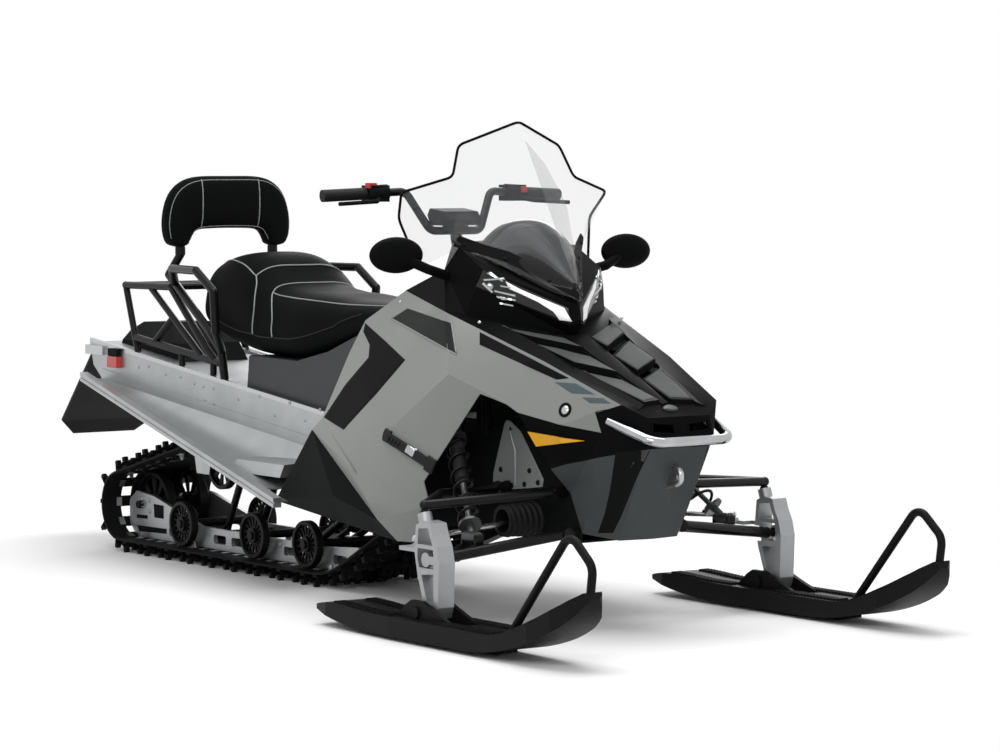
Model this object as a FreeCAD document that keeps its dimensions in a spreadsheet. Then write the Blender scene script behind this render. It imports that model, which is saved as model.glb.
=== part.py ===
"""A two-seat touring snowmobile in millimetres.

+X points forward, +Y to the rider's left and +Z up. The origin lies on the ground under the middle
of the machine. Every size that can be set by itself stands once in SIZES, which fills the sheet.
"""
import math
import os

import FreeCAD
import Part
import Sketcher

from FreeCAD import Placement, Rotation, Vector

SIZES = {
    # Track and its wheels
    "track_width": 381.0, "belt_thickness": 6.0, "lug_height": 34.0, "lug_length": 14.0,
    "track_pitches": 57.0, "rear_idler_x": -1215.0, "rear_idler_radius": 98.0,
    "upper_idler_x": -695.0, "upper_idler_height": 300.0, "upper_idler_radius": 73.0,
    "drive_x": 250.0, "drive_height": 298.0, "drive_radius": 86.0, "wheel_gap": 2.0,
    "nose_start_x": -135.0, "nose_radius": 330.0, "wheel_width": 24.0, "bogie_radius": 67.0,
    "bogie_windows": 16.0, "idler_windows": 9.0,
    "bogie_rear_x": -917.0, "bogie_middle_x": -515.0, "bogie_front_x": -230.0,
    "axle_radius": 12.0, "rail_spacing": 206.0, "rail_thickness": 13.0, "rail_rear_x": -1288.0,
    "rail_height": 62.0, "bogie_offset": 34.0, "idler_half_spacing": 58.0,
    # Tunnel and running boards
    "tunnel_width": 404.0, "sheet_thickness": 3.0, "tunnel_rear_x": -1365.0,
    "tunnel_rear_top": 634.0, "tunnel_front_x": 380.0, "tunnel_front_top": 436.0,
    "tunnel_wall_depth": 104.0, "tunnel_front_bottom": 240.0, "board_rear_x": -1290.0,
    "board_front_x": 62.0, "board_rear_reach": 266.0, "board_front_reach": 420.0,
    "board_rear_height": 540.0, "board_front_height": 270.0, "board_rail_width": 26.0,
    "edge_rail_width": 22.0, "edge_rail_height": 12.0,
    # Skis and steering
    "ski_stance": 1094.0, "ski_width": 150.0, "ski_bolt_x": 975.0, "ski_bolt_height": 74.0,
    "ski_bolt_radius": 8.0, "ski_tip_x": 1650.0, "ski_heel_x": 534.0,
    "keel_depth": 9.0, "saddle_gap": 5.5, "spindle_width": 48.0, "kingpin_top_x": 951.0,
    "kingpin_top_height": 316.0, "kingpin_low_x": 990.0, "kingpin_low_height": 205.0,
    "tie_ball_x": 862.0, "tie_ball_offset": 36.0, "tie_ball_height": 242.0, "tie_inner_height": 270.0,
    "tie_rod_radius": 7.0, "tie_rod_inner_offset": 178.0, "arm_tube_radius": 12.0,
    "arm_pivot_offset": 164.0, "ball_radius": 12.0, "ball_gap": 0.4,
    "post_top_x": 315.0, "post_top_height": 950.0, "post_low_x": 577.0, "post_low_height": 600.0,
    "post_radius": 12.0, "bar_radius": 11.1, "grip_radius": 16.5,
    "grip_length": 125.0, "bar_half_width": 386.0, "bar_x": 302.0, "bar_height": 998.0,
    # Body
    "panel_thickness": 4.0, "plate_thickness": 6.0, "screen_thickness": 4.0,
    "rack_tube_radius": 11.0, "post_tube_radius": 12.5, "seat_half_width": 200.0,
    "bumper_tube_radius": 12.5, "louvre_rise": 12.0, "rib_rise": 9.0, "mirror_half_width": 82.0,
    "step_block_height": 352.0, "clearance": 0.3, "bore_clearance": 0.05,
    # Engine block
    "engine_rear_x": 410.0, "engine_length": 290.0, "engine_width": 280.0, "engine_height": 280.0,
    # Rear lamps, bumper and flap
    "tail_light_x": -1330.0, "tail_light_half_width": 110.0, "tail_light_top": 705.0,
    "side_light_x": -1232.0, "side_light_height": 562.0, "side_light_length": 58.0,
    "side_light_depth": 16.0, "side_light_rise": 34.0,
    "rear_bumper_reach": 52.0, "rear_bumper_front_x": -1270.0, "rear_bumper_wall": 10.0,
    "rear_bumper_low": 597.0, "rear_bumper_rise": 28.0, "rear_bumper_gap": 10.0,
    "backrest_front_x": -856.0, "backrest_depth": 66.0, "pad_tip_height": 926.0,
    "tank_front_x": 178.0, "tank_rear_x": -486.0,
    # Tow eye
    "tow_eye_reach": 22.0, "tow_eye_radius": 6.0, "tow_eye_length": 10.0,
}

# Bodywork: corners of the mouldings' skin on the right side, as x, y and z, and the facets between
BODY_CENTRE = Vector(700.0, 0.0, 550.0)
STEEPEST_SHARE = 0.55
BODY = {
    "shoulder_rear": (358, -200, 842), "rear_high": (195, -222, 757), "rear_mid": (193, -272, 672),
    "rear_low": (146, -330, 494), "foot_top": (127, -350, 464), "low_rear": (500, -385, 250),
    "bottom_rear": (507, -330, 193), "bottom_front": (637, -330, 199), "arch_low": (722, -375, 308),
    "arch_rear": (732, -400, 370), "arch_top": (839, -300, 596), "arch_front": (920, -275, 573),
    "arch_step": (950, -262, 553), "stripe_low": (1073, -222, 528), "nose_low": (1180, -172, 512),
    "notch": (1172, -185, 562), "stripe_tip": (1234, -151, 584), "hood_mid": (983, -200, 681),
    "hood_rear": (629, -260, 796), "crease_top": (750, -335, 643), "crease_mid": (560, -405, 480),
    "crease_low": (415, -400, 370), "upper_mid": (430, -278, 700),
    "foot_rear": (-57, -352, 257), "foot_middle": (300, -394, 300),
    "chin": (835, 0, 737), "cheek": (672, -225, 789), "nose_corner": (1272, -97, 551),
    "nose_top": (1274, 0, 552), "rib_foot": (1219, 0, 576),
    "neck": (378, -62, 968), "neck_low": (430, -80, 912), "mirror_base": (560, -215, 903),
    "shield_side": (590, -190, 962), "lamp_top_out": (700, -190, 905), "dash": (640, 0, 985),
    "lamp_low_out": (690, -207, 862), "lamp_tip_top": (843, -22, 806), "lamp_tip_low": (850, -22, 770),
    "tip": (862, 0, 812), "tip_low": (868, 0, 775),
    "ridge_centre": (1290, 0, 492), "ridge_corner": (1286, -100, 500),
    "lip_centre": (1165, 0, 236), "lip_corner": (1150, -92, 236), "jaw": (1085, -158, 252),
    "console_low": (200, -34, 796), "console_top": (436, -34, 913),
    "gap_mid": (985, -180, 405), "gap_low": (1044, -166, 352),
}

PANEL_FACETS = [
    ("shoulder_rear", "rear_high", "upper_mid"), ("shoulder_rear", "upper_mid", "hood_rear"),
    ("rear_high", "rear_mid", "upper_mid"), ("rear_mid", "crease_mid", "upper_mid"),
    ("upper_mid", "crease_mid", "crease_top"), ("upper_mid", "crease_top", "hood_rear"),
    ("rear_mid", "rear_low", "crease_mid"), ("rear_low", "crease_low", "crease_mid"),
    ("rear_low", "foot_top", "crease_low"), ("foot_top", "low_rear", "crease_low"),
    ("low_rear", "arch_low", "crease_low"), ("low_rear", "bottom_rear", "bottom_front"),
    ("low_rear", "bottom_front", "arch_low"), ("crease_low", "arch_low", "arch_rear"),
    ("crease_low", "arch_rear", "crease_mid"), ("crease_mid", "arch_rear", "arch_top"),
    ("crease_mid", "arch_top", "crease_top"), ("crease_top", "arch_top", "arch_front"),
    ("hood_rear", "crease_top", "hood_mid"), ("crease_top", "arch_front", "hood_mid"),
    ("arch_front", "arch_step", "hood_mid"), ("arch_step", "stripe_low", "hood_mid"),
    ("stripe_low", "stripe_tip", "hood_mid"), ("stripe_low", "notch", "stripe_tip"),
    ("stripe_low", "nose_low", "notch"),
]
FOOTWELL_FACETS = [
    ("foot_top", "foot_rear", "foot_middle"), ("foot_top", "foot_middle", "low_rear"),
    ("foot_rear", "bottom_rear", "foot_middle"), ("foot_middle", "bottom_rear", "low_rear"),
]
HOOD_FACETS = [
    ("chin", "cheek", "hood_mid"), ("cheek", "hood_rear", "hood_mid"), ("chin", "hood_mid", "rib_foot"),
    ("hood_mid", "stripe_tip", "rib_foot"), ("stripe_tip", "nose_corner", "rib_foot"),
    ("nose_corner", "nose_top", "rib_foot"),
]
COWL_FACETS = [
    ("neck", "neck_low", "mirror_base"), ("neck", "mirror_base", "shield_side"),
    ("neck_low", "shoulder_rear", "mirror_base"), ("shoulder_rear", "hood_rear", "mirror_base"),
    ("hood_rear", "cheek", "mirror_base"), ("mirror_base", "cheek", "lamp_low_out"),
    ("mirror_base", "lamp_low_out", "lamp_top_out"), ("mirror_base", "lamp_top_out", "shield_side"),
    ("shield_side", "lamp_top_out", "tip"), ("lamp_top_out", "lamp_tip_top", "tip"),
    ("tip", "lamp_tip_top", "lamp_tip_low"), ("tip", "lamp_tip_low", "tip_low"),
    ("lamp_low_out", "cheek", "chin"), ("lamp_low_out", "chin", "lamp_tip_low"),
    ("lamp_tip_low", "chin", "tip_low"), ("neck", "shield_side", "dash"),
    ("shield_side", "tip", "dash"),
]
LAMP_FACETS = [("lamp_top_out", "lamp_tip_top", "lamp_tip_low"),
               ("lamp_top_out", "lamp_tip_low", "lamp_low_out")]
CONSOLE_FACETS = [
    ("rear_high", "shoulder_rear", "console_low"), ("shoulder_rear", "console_top", "console_low"),
    ("shoulder_rear", "neck_low", "console_top"),
]
NOSE_FACETS = [
    ("nose_top", "nose_corner", "ridge_corner"), ("nose_top", "ridge_corner", "ridge_centre"),
    ("nose_corner", "stripe_tip", "ridge_corner"), ("stripe_tip", "notch", "ridge_corner"),
    ("notch", "nose_low", "ridge_corner"), ("ridge_centre", "ridge_corner", "lip_corner"),
    ("ridge_centre", "lip_corner", "lip_centre"), ("ridge_corner", "nose_low", "jaw"),
    ("ridge_corner", "jaw", "lip_corner"), ("nose_low", "stripe_low", "gap_low"),
    ("nose_low", "gap_low", "jaw"), ("stripe_low", "arch_step", "gap_mid"),
    ("stripe_low", "gap_mid", "gap_low"),
]

ALL_FACETS = (PANEL_FACETS + FOOTWELL_FACETS + HOOD_FACETS + COWL_FACETS + LAMP_FACETS
              + CONSOLE_FACETS + NOSE_FACETS)


document = FreeCAD.newDocument("Snowmobile")
sheet = document.addObject("Spreadsheet::Sheet", "Sizes")
for row, (alias, value) in enumerate(SIZES.items(), start=1):
    sheet.set("A%d" % row, alias)
    sheet.set("B%d" % row, str(value))
    sheet.setAlias("B%d" % row, alias)
document.recompute()


def size(alias):
    """Value of one cell of the sheet."""
    return float(getattr(sheet, alias))


NODES = []


def keep(obj, label):
    """Register an object as a sub-part whose label names its file."""
    obj.Label = label
    NODES.append(obj)
    return obj


def feature(label, shape):
    """Sub-part whose shape is made with Part's functions."""
    obj = document.addObject("Part::Feature", label)
    obj.Shape = shape
    obj.Placement = Placement()
    return keep(obj, label)


def union(shapes):
    """One solid out of shapes that overlap or share faces."""
    first, rest = shapes[0], shapes[1:]
    if not rest:
        return first
    return first.multiFuse(rest).removeSplitter()


def mirrored(shape):
    """The same shape on the other side of the machine's middle plane."""
    return shape.mirror(Vector(0, 0, 0), Vector(0, 1, 0))


def pair(shape):
    """A shape of the right side with its mirror image, as solids that don't touch."""
    return Part.makeCompound([shape, mirrored(shape)])


def rod(start, end, radius):
    """Round bar between two points."""
    axis = end - start
    return Part.makeCylinder(radius, axis.Length, start, axis)


def tube_run(points, radius):
    """Bent round tube: straight runs with a ball at each bend, as one solid."""
    pieces = [rod(a, b, radius) for a, b in zip(points, points[1:])]
    pieces += [Part.makeSphere(radius, p) for p in points[1:-1]]
    return union(pieces)


def bent_tube(points, radius, bend):
    """Bent round tube: straight runs joined by tangent arcs of one bend radius."""
    edges = []
    start = points[0]
    for before, corner, after in zip(points, points[1:], points[2:]):
        towards_before = (before - corner).normalize()
        towards_after = (after - corner).normalize()
        half_angle = towards_before.getAngle(towards_after) / 2
        cut = bend / math.tan(half_angle)
        arc_start = corner + towards_before * cut
        arc_end = corner + towards_after * cut
        inward = (towards_before + towards_after).normalize()
        middle = corner + inward * (bend / math.sin(half_angle) - bend)
        edges.append(Part.LineSegment(start, arc_start).toShape())
        edges.append(Part.Arc(arc_start, middle, arc_end).toShape())
        start = arc_end
    edges.append(Part.LineSegment(start, points[-1]).toShape())
    path = Part.Wire(edges)
    section = Part.Wire(Part.makeCircle(radius, points[0], points[1] - points[0]))
    return path.makePipeShell([section], True, True)


def prism(points, direction):
    """Solid swept straight from a flat polygon."""
    return Part.Face(Part.makePolygon(list(points) + [points[0]])).extrude(direction)


def skin_slab(facets, depth, further_depth):
    """Solid between two depths under the right side's facets; depths below zero lie outside."""
    corners, every = with_left_side(BODY, ALL_FACETS)
    return shell(inner_corners(corners, every, depth), inner_corners(corners, every, further_depth),
                 facets)


def trim_on(facets, outline, thickness):
    """Thin solid that lies on the right side's facets, cut to an outline of (x, z) points."""
    gap = size("clearance")
    return skin_slab(facets, -gap - thickness, -gap).common(side_plate(outline, -600.0, 0.0))


def faceted_slab(points, facets, wall):
    """Slab over a fan of points whose facets are given by their numbers."""
    corners = dict(enumerate(points))
    inside = {i: place + wall for i, place in corners.items()}
    return shell(corners, inside, facets)


def side_plate(outline, inner_y, outer_y):
    """Plate with an outline of (x, z) points, standing between two y values."""
    points = [Vector(x, inner_y, z) for x, z in outline]
    return prism(points, Vector(0, outer_y - inner_y, 0))


def facet_normal(facet, corners, centre=BODY_CENTRE):
    """Unit normal of a triangle between named corners, pointing away from a point inside."""
    a, b, c = (corners[name] for name in facet)
    normal = (b - a).cross(c - a).normalize()
    outwards = (a + b + c) / 3 - centre
    return normal if normal.dot(outwards) > 0 else -normal


def inner_corners(corners, facets, wall, centre=BODY_CENTRE):
    """Each corner moved inwards, square to the facets that meet there."""
    summed = {name: Vector() for facet in facets for name in facet}
    meeting = {name: [] for name in summed}
    for facet in facets:
        normal = facet_normal(facet, corners, centre)
        for i, name in enumerate(facet):
            before = corners[facet[i - 1]] - corners[name]
            after = corners[facet[(i + 1) % 3]] - corners[name]
            summed[name] += normal * before.getAngle(after)
            meeting[name].append(normal)
    inside = {}
    for name, direction in summed.items():
        inwards = direction.normalize()
        share = sum(inwards.dot(normal) for normal in meeting[name]) / len(meeting[name])
        inside[name] = corners[name] - inwards * (wall / max(share, STEEPEST_SHARE))
    return inside


def with_left_side(corners, facets):
    """Corners and facets of the right half together with their mirror images."""
    both = {name: Vector(*place) for name, place in corners.items()}
    other = {name: name if place[1] == 0 else name + "_left" for name, place in corners.items()}
    for name, place in corners.items():
        both[other[name]] = Vector(place[0], -place[1], place[2])
    mirrored_facets = [tuple(other[name] for name in facet) for facet in facets]
    return both, list(facets) + mirrored_facets


def shell(corners, inside, facets):
    """Solid between a faceted skin and its inner side, closed round the border."""
    faces = []
    border = set()
    for facet in facets:
        for side in (corners, inside):
            a, b, c = (side[name] for name in facet)
            faces.append(Part.Face(Part.makePolygon([a, b, c, a])))
        for i in range(3):
            border ^= {frozenset((facet[i - 1], facet[i]))}
    for edge in sorted(sorted(pair_of_names) for pair_of_names in border):
        first, second = edge
        a, b = corners[first], corners[second]
        c, d = inside[second], inside[first]
        faces.append(Part.Face(Part.makePolygon([a, b, c, a])))
        faces.append(Part.Face(Part.makePolygon([a, c, d, a])))
    solid = Part.Solid(Part.Shell(faces))
    if solid.Volume < 0:
        solid.reverse()
    return solid


def origin_plane(body, role):
    """One of a body's own origin planes."""
    return next(p for p in body.Origin.OriginFeatures if p.Role == role)


def flat_sketch(body, name, role, outline, offset=0.0):
    """Closed polygon sketch on an origin plane, each corner held by two dimensions."""
    sketch = body.newObject("Sketcher::SketchObject", name)
    sketch.AttachmentSupport = [(origin_plane(body, role), "")]
    sketch.MapMode = "FlatFace"
    sketch.AttachmentOffset = Placement(Vector(0, 0, offset), Rotation())
    count = len(outline)
    for i, (u, v) in enumerate(outline):
        u_next, v_next = outline[(i + 1) % count]
        sketch.addGeometry(Part.LineSegment(Vector(u, v, 0), Vector(u_next, v_next, 0)), False)
    for i in range(count):
        sketch.addConstraint(Sketcher.Constraint("Coincident", i, 2, (i + 1) % count, 1))
    for i, (u, v) in enumerate(outline):
        sketch.addConstraint(Sketcher.Constraint("DistanceX", -1, 1, i, 1, u))
        sketch.addConstraint(Sketcher.Constraint("DistanceY", -1, 1, i, 1, v))
    return sketch


def tunnel_top(x):
    """Height of the tunnel's top sheet at a place along the machine."""
    run = size("tunnel_front_x") - size("tunnel_rear_x")
    slope = (size("tunnel_front_top") - size("tunnel_rear_top")) / run
    return size("tunnel_rear_top") + slope * (x - size("tunnel_rear_x"))


def along(start, end, share):
    """Point at a share of the way from start to end."""
    return start + (end - start) * share


# Tunnel: an upturned channel of folded aluminium sheet


def make_tunnel():
    """Channel with its side walls stepped down at the hangers of the upper idlers."""
    wall = size("sheet_thickness")
    rear, front = size("tunnel_rear_x"), size("tunnel_front_x")
    depth = size("tunnel_wall_depth")
    step_x = size("board_front_x")
    drop_x = size("upper_idler_x")
    hanger = 34.0
    hanger_bottom = size("upper_idler_height") - 24.0
    body = document.addObject("PartDesign::Body", "TunnelBody")
    outline = [
        (rear, tunnel_top(rear)), (front, tunnel_top(front)),
        (front, size("tunnel_front_bottom")), (step_x + 90, size("tunnel_front_bottom")),
        (step_x, tunnel_top(step_x) - depth),
        (drop_x + 80, tunnel_top(drop_x + 80) - depth), (drop_x + hanger, hanger_bottom),
        (drop_x - hanger, hanger_bottom), (drop_x - 80, tunnel_top(drop_x - 80) - depth),
        (rear + 80, tunnel_top(rear + 80) - depth), (rear + 22, tunnel_top(rear) - 70),
    ]
    side = flat_sketch(body, "TunnelSide", "XZ_Plane", outline)
    pad = body.newObject("PartDesign::Pad", "TunnelPad")
    pad.Profile = side
    pad.Midplane = True
    pad.setExpression("Length", "Sizes.tunnel_width")
    hollow = [
        (rear - 50, tunnel_top(rear - 50) - wall), (front + 50, tunnel_top(front + 50) - wall),
        (front + 50, 0.0), (rear - 50, 0.0),
    ]
    inside = flat_sketch(body, "TunnelInside", "XZ_Plane", hollow)
    pocket = body.newObject("PartDesign::Pocket", "TunnelHollow")
    pocket.Profile = inside
    pocket.Midplane = True
    pocket.Type = 0
    pocket.setExpression("Length", "Sizes.tunnel_width - 2 * Sizes.sheet_thickness")
    keep(body, "tunnel")


make_tunnel()


# Running boards: a flared sheet along each tunnel wall with a grooved outer rail


def board_edge(x):
    """Reach and height of the running board's outer edge at a place along the machine."""
    share = (x - size("board_rear_x")) / (size("board_front_x") - size("board_rear_x"))
    reach = along(size("board_rear_reach"), size("board_front_reach"), share)
    height = along(size("board_rear_height"), size("board_front_height"), share)
    return reach, height


def board_section(x):
    """Cross-section of the flared sheet: a flange on the tunnel wall, then a hollow curve."""
    wall = size("sheet_thickness")
    inner = -size("tunnel_width") / 2
    reach, height = board_edge(x)
    flange_top = tunnel_top(x) - size("tunnel_wall_depth") + 34
    bend = tunnel_top(x) - size("tunnel_wall_depth") + 4
    outer = -reach + size("board_rail_width") / 2
    low = min(bend, height) - 4
    mid_y = inner + (outer - inner) * 0.34
    mid_z = low + (bend - low) * 0.22
    upper = [Vector(x, inner - wall, flange_top), Vector(x, inner - wall, bend),
             Vector(x, mid_y - wall / 2, mid_z + wall), Vector(x, outer, height)]
    lower = [Vector(x, inner, flange_top), Vector(x, inner, bend),
             Vector(x, mid_y + wall / 2, mid_z), Vector(x, outer, height - wall)]
    edges = [
        Part.LineSegment(upper[0], upper[1]).toShape(),
        Part.Arc(upper[1], upper[2], upper[3]).toShape(),
        Part.LineSegment(upper[3], lower[3]).toShape(),
        Part.Arc(lower[3], lower[2], lower[1]).toShape(),
        Part.LineSegment(lower[1], lower[0]).toShape(),
        Part.LineSegment(lower[0], upper[0]).toShape(),
    ]
    return Part.Wire(edges)


def make_running_board():
    """Flared sheet, its grooved outer rail and the step block ahead of the rail."""
    rear, front = size("board_rear_x"), size("board_front_x")
    sheet_part = Part.makeLoft([board_section(rear), board_section(front)], True, True)
    half = size("board_rail_width") / 2
    reach_rear, height_rear = board_edge(rear)
    reach_front, height_front = board_edge(front)
    profile = [(-half, half), (half, half), (half, 3), (half - 3, 3), (half - 3, -3), (half, -3),
               (half, -half), (-half, -half)]
    start = Vector(rear, -reach_rear, height_rear)
    run = Vector(front - rear, -(reach_front - reach_rear), height_front - height_rear)
    rail = prism([start + Vector(0, -u, v - half / 2) for u, v in profile], run)
    footwell_x = BODY["foot_rear"][0] - 2
    top = size("step_block_height")
    inner = -size("tunnel_width") / 2 - 16
    step_section = [Vector(footwell_x, inner, top + 8), Vector(footwell_x, inner - 104, top),
                    Vector(footwell_x, inner - 118, top - 34), Vector(footwell_x, inner, top - 34)]
    block = prism(step_section, Vector(-262, 0, 0))
    block = block.cut(side_plate([(-340.0, top - 40), (-340.0, top + 12), (footwell_x - 236, top + 12)],
                                 -500.0, 0.0))
    room = Part.makeBox(front - footwell_x + 1, 190, 400, Vector(footwell_x, -386, 200))
    return union([sheet_part, rail, block]).cut(room)


board = make_running_board()
feature("running_board_right", board)
feature("running_board_left", mirrored(board))


def make_edge_rail():
    """Bright extrusion along the top corner of the tunnel."""
    wide, high = size("edge_rail_width"), size("edge_rail_height")
    rear, front = size("tunnel_rear_x"), size("board_front_x") - 100
    outer = -size("tunnel_width") / 2
    profile = [(0, 0), (wide, 0), (wide, high * 0.6), (wide * 0.6, high * 0.6), (wide * 0.5, high),
               (0, high)]
    points = [Vector(rear, outer + u, tunnel_top(rear) + v) for u, v in profile]
    return prism(points, Vector(front - rear, 0, tunnel_top(front) - tunnel_top(rear)))


feature("edge_rails", pair(make_edge_rail()))


# Track: an endless belt with rows of lugs round the wheels


def belt_circles():
    """Circles that the inside of the belt follows, in driving order round the loop."""
    gap = size("wheel_gap")
    ground = size("lug_height") + size("belt_thickness")
    rear = size("rear_idler_radius") + gap
    drive = size("drive_radius") + gap
    upper = size("upper_idler_radius") + gap
    nose = size("nose_radius")
    return [
        (Vector(size("nose_start_x"), 0, ground + nose), nose),
        (Vector(size("drive_x"), 0, size("drive_height")), drive),
        (Vector(size("upper_idler_x"), 0, size("upper_idler_height")), upper),
        (Vector(size("rear_idler_x"), 0, ground + rear), rear),
    ]


def belt_tangents():
    """Straight runs of the belt: start point, end point and outward normal of each."""
    circles = belt_circles()
    runs = []
    for (a, ra), (b, rb) in zip(circles, circles[1:] + circles[:1]):
        chord = b - a
        length = chord.Length
        tilt = math.asin((ra - rb) / length)
        heading = math.atan2(chord.z, chord.x) - math.pi / 2 + tilt
        normal = Vector(math.cos(heading), 0, math.sin(heading))
        runs.append((a + normal * ra, b + normal * rb, normal))
    return runs


def belt_wire(offset):
    """Closed line round the wheels, at an offset outside the belt's inner face."""
    circles = belt_circles()
    runs = belt_tangents()
    edges = []
    for i, (start, end, normal) in enumerate(runs):
        centre, radius = circles[(i + 1) % len(circles)]
        next_start, next_end, next_normal = runs[(i + 1) % len(runs)]
        middle = (normal + next_normal).normalize()
        edges.append(Part.LineSegment(start + normal * offset, end + normal * offset).toShape())
        arc = Part.Arc(end + normal * offset, centre + middle * (radius + offset),
                       next_start + next_normal * offset)
        edges.append(arc.toShape())
    return Part.Wire(edges)


def belt_frames(offset, count):
    """Evenly spaced points round the belt with the outward direction at each."""
    wire = belt_wire(offset)
    spacing = wire.Length / count
    frames = []
    travelled = 0.0
    wanted = spacing / 2
    for edge in wire.OrderedEdges:
        while wanted <= travelled + edge.Length and len(frames) < count:
            share = edge.getParameterByLength(wanted - travelled)
            tangent = edge.tangentAt(share)
            frames.append((edge.valueAt(share), Vector(tangent.z, 0, -tangent.x)))
            wanted += spacing
        travelled += edge.Length
    return frames


def lug_block(point, normal, inner_y, outer_y):
    """One lug: a block that tapers towards its tip and bites into the belt a little."""
    length, height = size("lug_length"), size("lug_height")
    root = 1.5
    ahead = Vector(-normal.z, 0, normal.x)
    base = Vector(point.x, inner_y, point.z) - normal * root
    tip = Vector(point.x, inner_y, point.z) + normal * height
    corners = [base - ahead * (length / 2), tip - ahead * (length / 3), tip + ahead * (length / 3),
               base + ahead * (length / 2)]
    return prism(corners, Vector(0, outer_y - inner_y, 0))


def make_track():
    """Belt with its rows of lugs, three and two to a row by turns."""
    half = size("track_width") / 2
    thickness = size("belt_thickness")
    outer = Part.Face(belt_wire(thickness))
    inner = Part.Face(belt_wire(0))
    belt = outer.cut(inner).extrude(Vector(0, 2 * half, 0))
    belt.translate(Vector(0, -half, 0))
    rows = [[(-0.96, -0.60), (-0.27, 0.27), (0.60, 0.96)], [(-0.66, -0.20), (0.20, 0.66)]]
    lugs = []
    for i, (point, normal) in enumerate(belt_frames(thickness, int(size("track_pitches")))):
        for start, end in rows[i % 2]:
            lugs.append(lug_block(point, normal, start * half, end * half))
    return belt.multiFuse(lugs)


feature("track", make_track())


# Slide rails, wheels and axles of the rear suspension


def ground_line():
    """Height of the belt's inner face on the flat stretch."""
    return size("lug_height") + size("belt_thickness")


def rear_axle_point():
    """Centre of the rear idlers' axle."""
    return Vector(size("rear_idler_x"), 0, ground_line() + size("wheel_gap") + size("rear_idler_radius"))


def bogie_points():
    """Centres of the three bogie axles."""
    height = ground_line() + size("clearance") + size("bogie_radius")
    return [Vector(size(name), 0, height)
            for name in ("bogie_rear_x", "bogie_middle_x", "bogie_front_x")]


def rail_outline():
    """Side view of one slide rail: a low extrusion, high at the rear axle and at the upswept tip."""
    low = ground_line() + size("clearance")
    high = low + size("rail_height")
    rear = size("rail_rear_x")
    axle = rear_axle_point()
    tip_x, tip_z = 36.0, 108.0
    return [
        (rear + 30, low + 11), (-1215.0, low + 1), (size("nose_start_x"), low),
        (size("nose_start_x") + 85, low + 12),
        (tip_x, tip_z - 16), (tip_x + 8, tip_z), (tip_x - 60, tip_z + 6), (-170.0, high),
        (-860.0, high), (axle.x + 75, axle.z + 30), (axle.x - 30, axle.z + 40),
        (rear, axle.z + 10), (rear, low + 40),
    ]


def make_rail():
    """Right slide rail with its lightening windows and axle holes."""
    body = document.addObject("PartDesign::Body", "RailBody")
    half = size("rail_spacing") / 2
    profile = flat_sketch(body, "RailSide", "XZ_Plane", rail_outline(), half)
    pad = body.newObject("PartDesign::Pad", "RailPad")
    pad.Profile = profile
    pad.Midplane = True
    pad.setExpression("Length", "Sizes.rail_thickness")
    document.recompute()
    return body


def rail_cutters():
    """Windows between the axles and the bores for the axles, as solids that pass the rail."""
    half = size("rail_spacing") / 2
    reach = size("rail_thickness")
    low = ground_line()
    cutters = []
    window_height = size("rail_height") - 36
    for start_x in (-1050.0, -790.0, -690.0, -400.0, -140.0):
        box = Part.makeBox(70, 2 * reach, window_height, Vector(start_x, -half - reach, low + 18))
        cutters.append(box.makeFillet(8, [e for e in box.Edges if abs(e.tangentAt(0).y) > 0.9]))
    bore = size("axle_radius") + size("bore_clearance")
    for centre in [rear_axle_point()] + bogie_points():
        start = Vector(centre.x, -half - reach, centre.z)
        cutters.append(Part.makeCylinder(bore, 2 * reach, start, Vector(0, 1, 0)))
    return cutters


rail_body = make_rail()
right_rail = rail_body.Shape.cut(Part.makeCompound(rail_cutters()))
feature("slide_rails", pair(right_rail))


def wheel(radius, width, hub_radius, bore, windows):
    """Spoked wheel about the Y axis, centred on the origin: rim, pierced web and hub."""
    half = width / 2
    web = 3.0
    rim = 11.0
    section = [
        (bore, -half), (hub_radius, -half), (hub_radius, -web), (radius - rim, -web),
        (radius - rim, -half), (radius - 2, -half), (radius, -half + 2), (radius, half - 2),
        (radius - 2, half), (radius - rim, half), (radius - rim, web), (hub_radius, web),
        (hub_radius, half), (bore, half),
    ]
    points = [Vector(r, y, 0) for r, y in section]
    face = Part.Face(Part.makePolygon(points + [points[0]]))
    disc = face.revolve(Vector(0, 0, 0), Vector(0, 1, 0), 360)
    half_turn = math.pi / windows * 0.60
    outer, inner = radius - rim - 3, hub_radius + 4
    corners = [(outer, -half_turn), (outer, half_turn), (inner, half_turn), (inner, -half_turn)]
    hole = prism([Vector(r * math.cos(turn), -2 * web, r * math.sin(turn)) for r, turn in corners],
                 Vector(0, 4 * web, 0))
    holes = []
    for i in range(int(windows)):
        one = hole.copy()
        one.rotate(Vector(0, 0, 0), Vector(0, 1, 0), i * 360 / windows)
        holes.append(one)
    return disc.cut(Part.makeCompound(holes))


def moved(shape, place):
    """Copy of a shape, shifted."""
    copy = shape.copy()
    copy.translate(place)
    return copy


def make_bogies():
    """Three pairs of bogie wheels outside the rails, each pair with its axle."""
    spread = size("rail_spacing") / 2 + size("bogie_offset")
    width = size("wheel_width")
    axle = size("axle_radius")
    groups = []
    for centre in bogie_points():
        one = wheel(size("bogie_radius"), width, 22.0, axle - 1, size("bogie_windows"))
        reach = spread + width / 2 + 6
        bar = rod(centre + Vector(0, -reach, 0), centre + Vector(0, reach, 0), axle)
        collars = [
            rod(centre + Vector(0, side * (size("rail_spacing") / 2 + size("rail_thickness") / 2), 0),
                centre + Vector(0, side * (spread - width / 2 + 1), 0), axle + 5)
            for side in (-1, 1)
        ]
        wheels = [moved(one, centre + Vector(0, side * spread, 0)) for side in (-1, 1)]
        groups.append(union([bar] + collars + wheels))
    return Part.makeCompound(groups)


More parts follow.
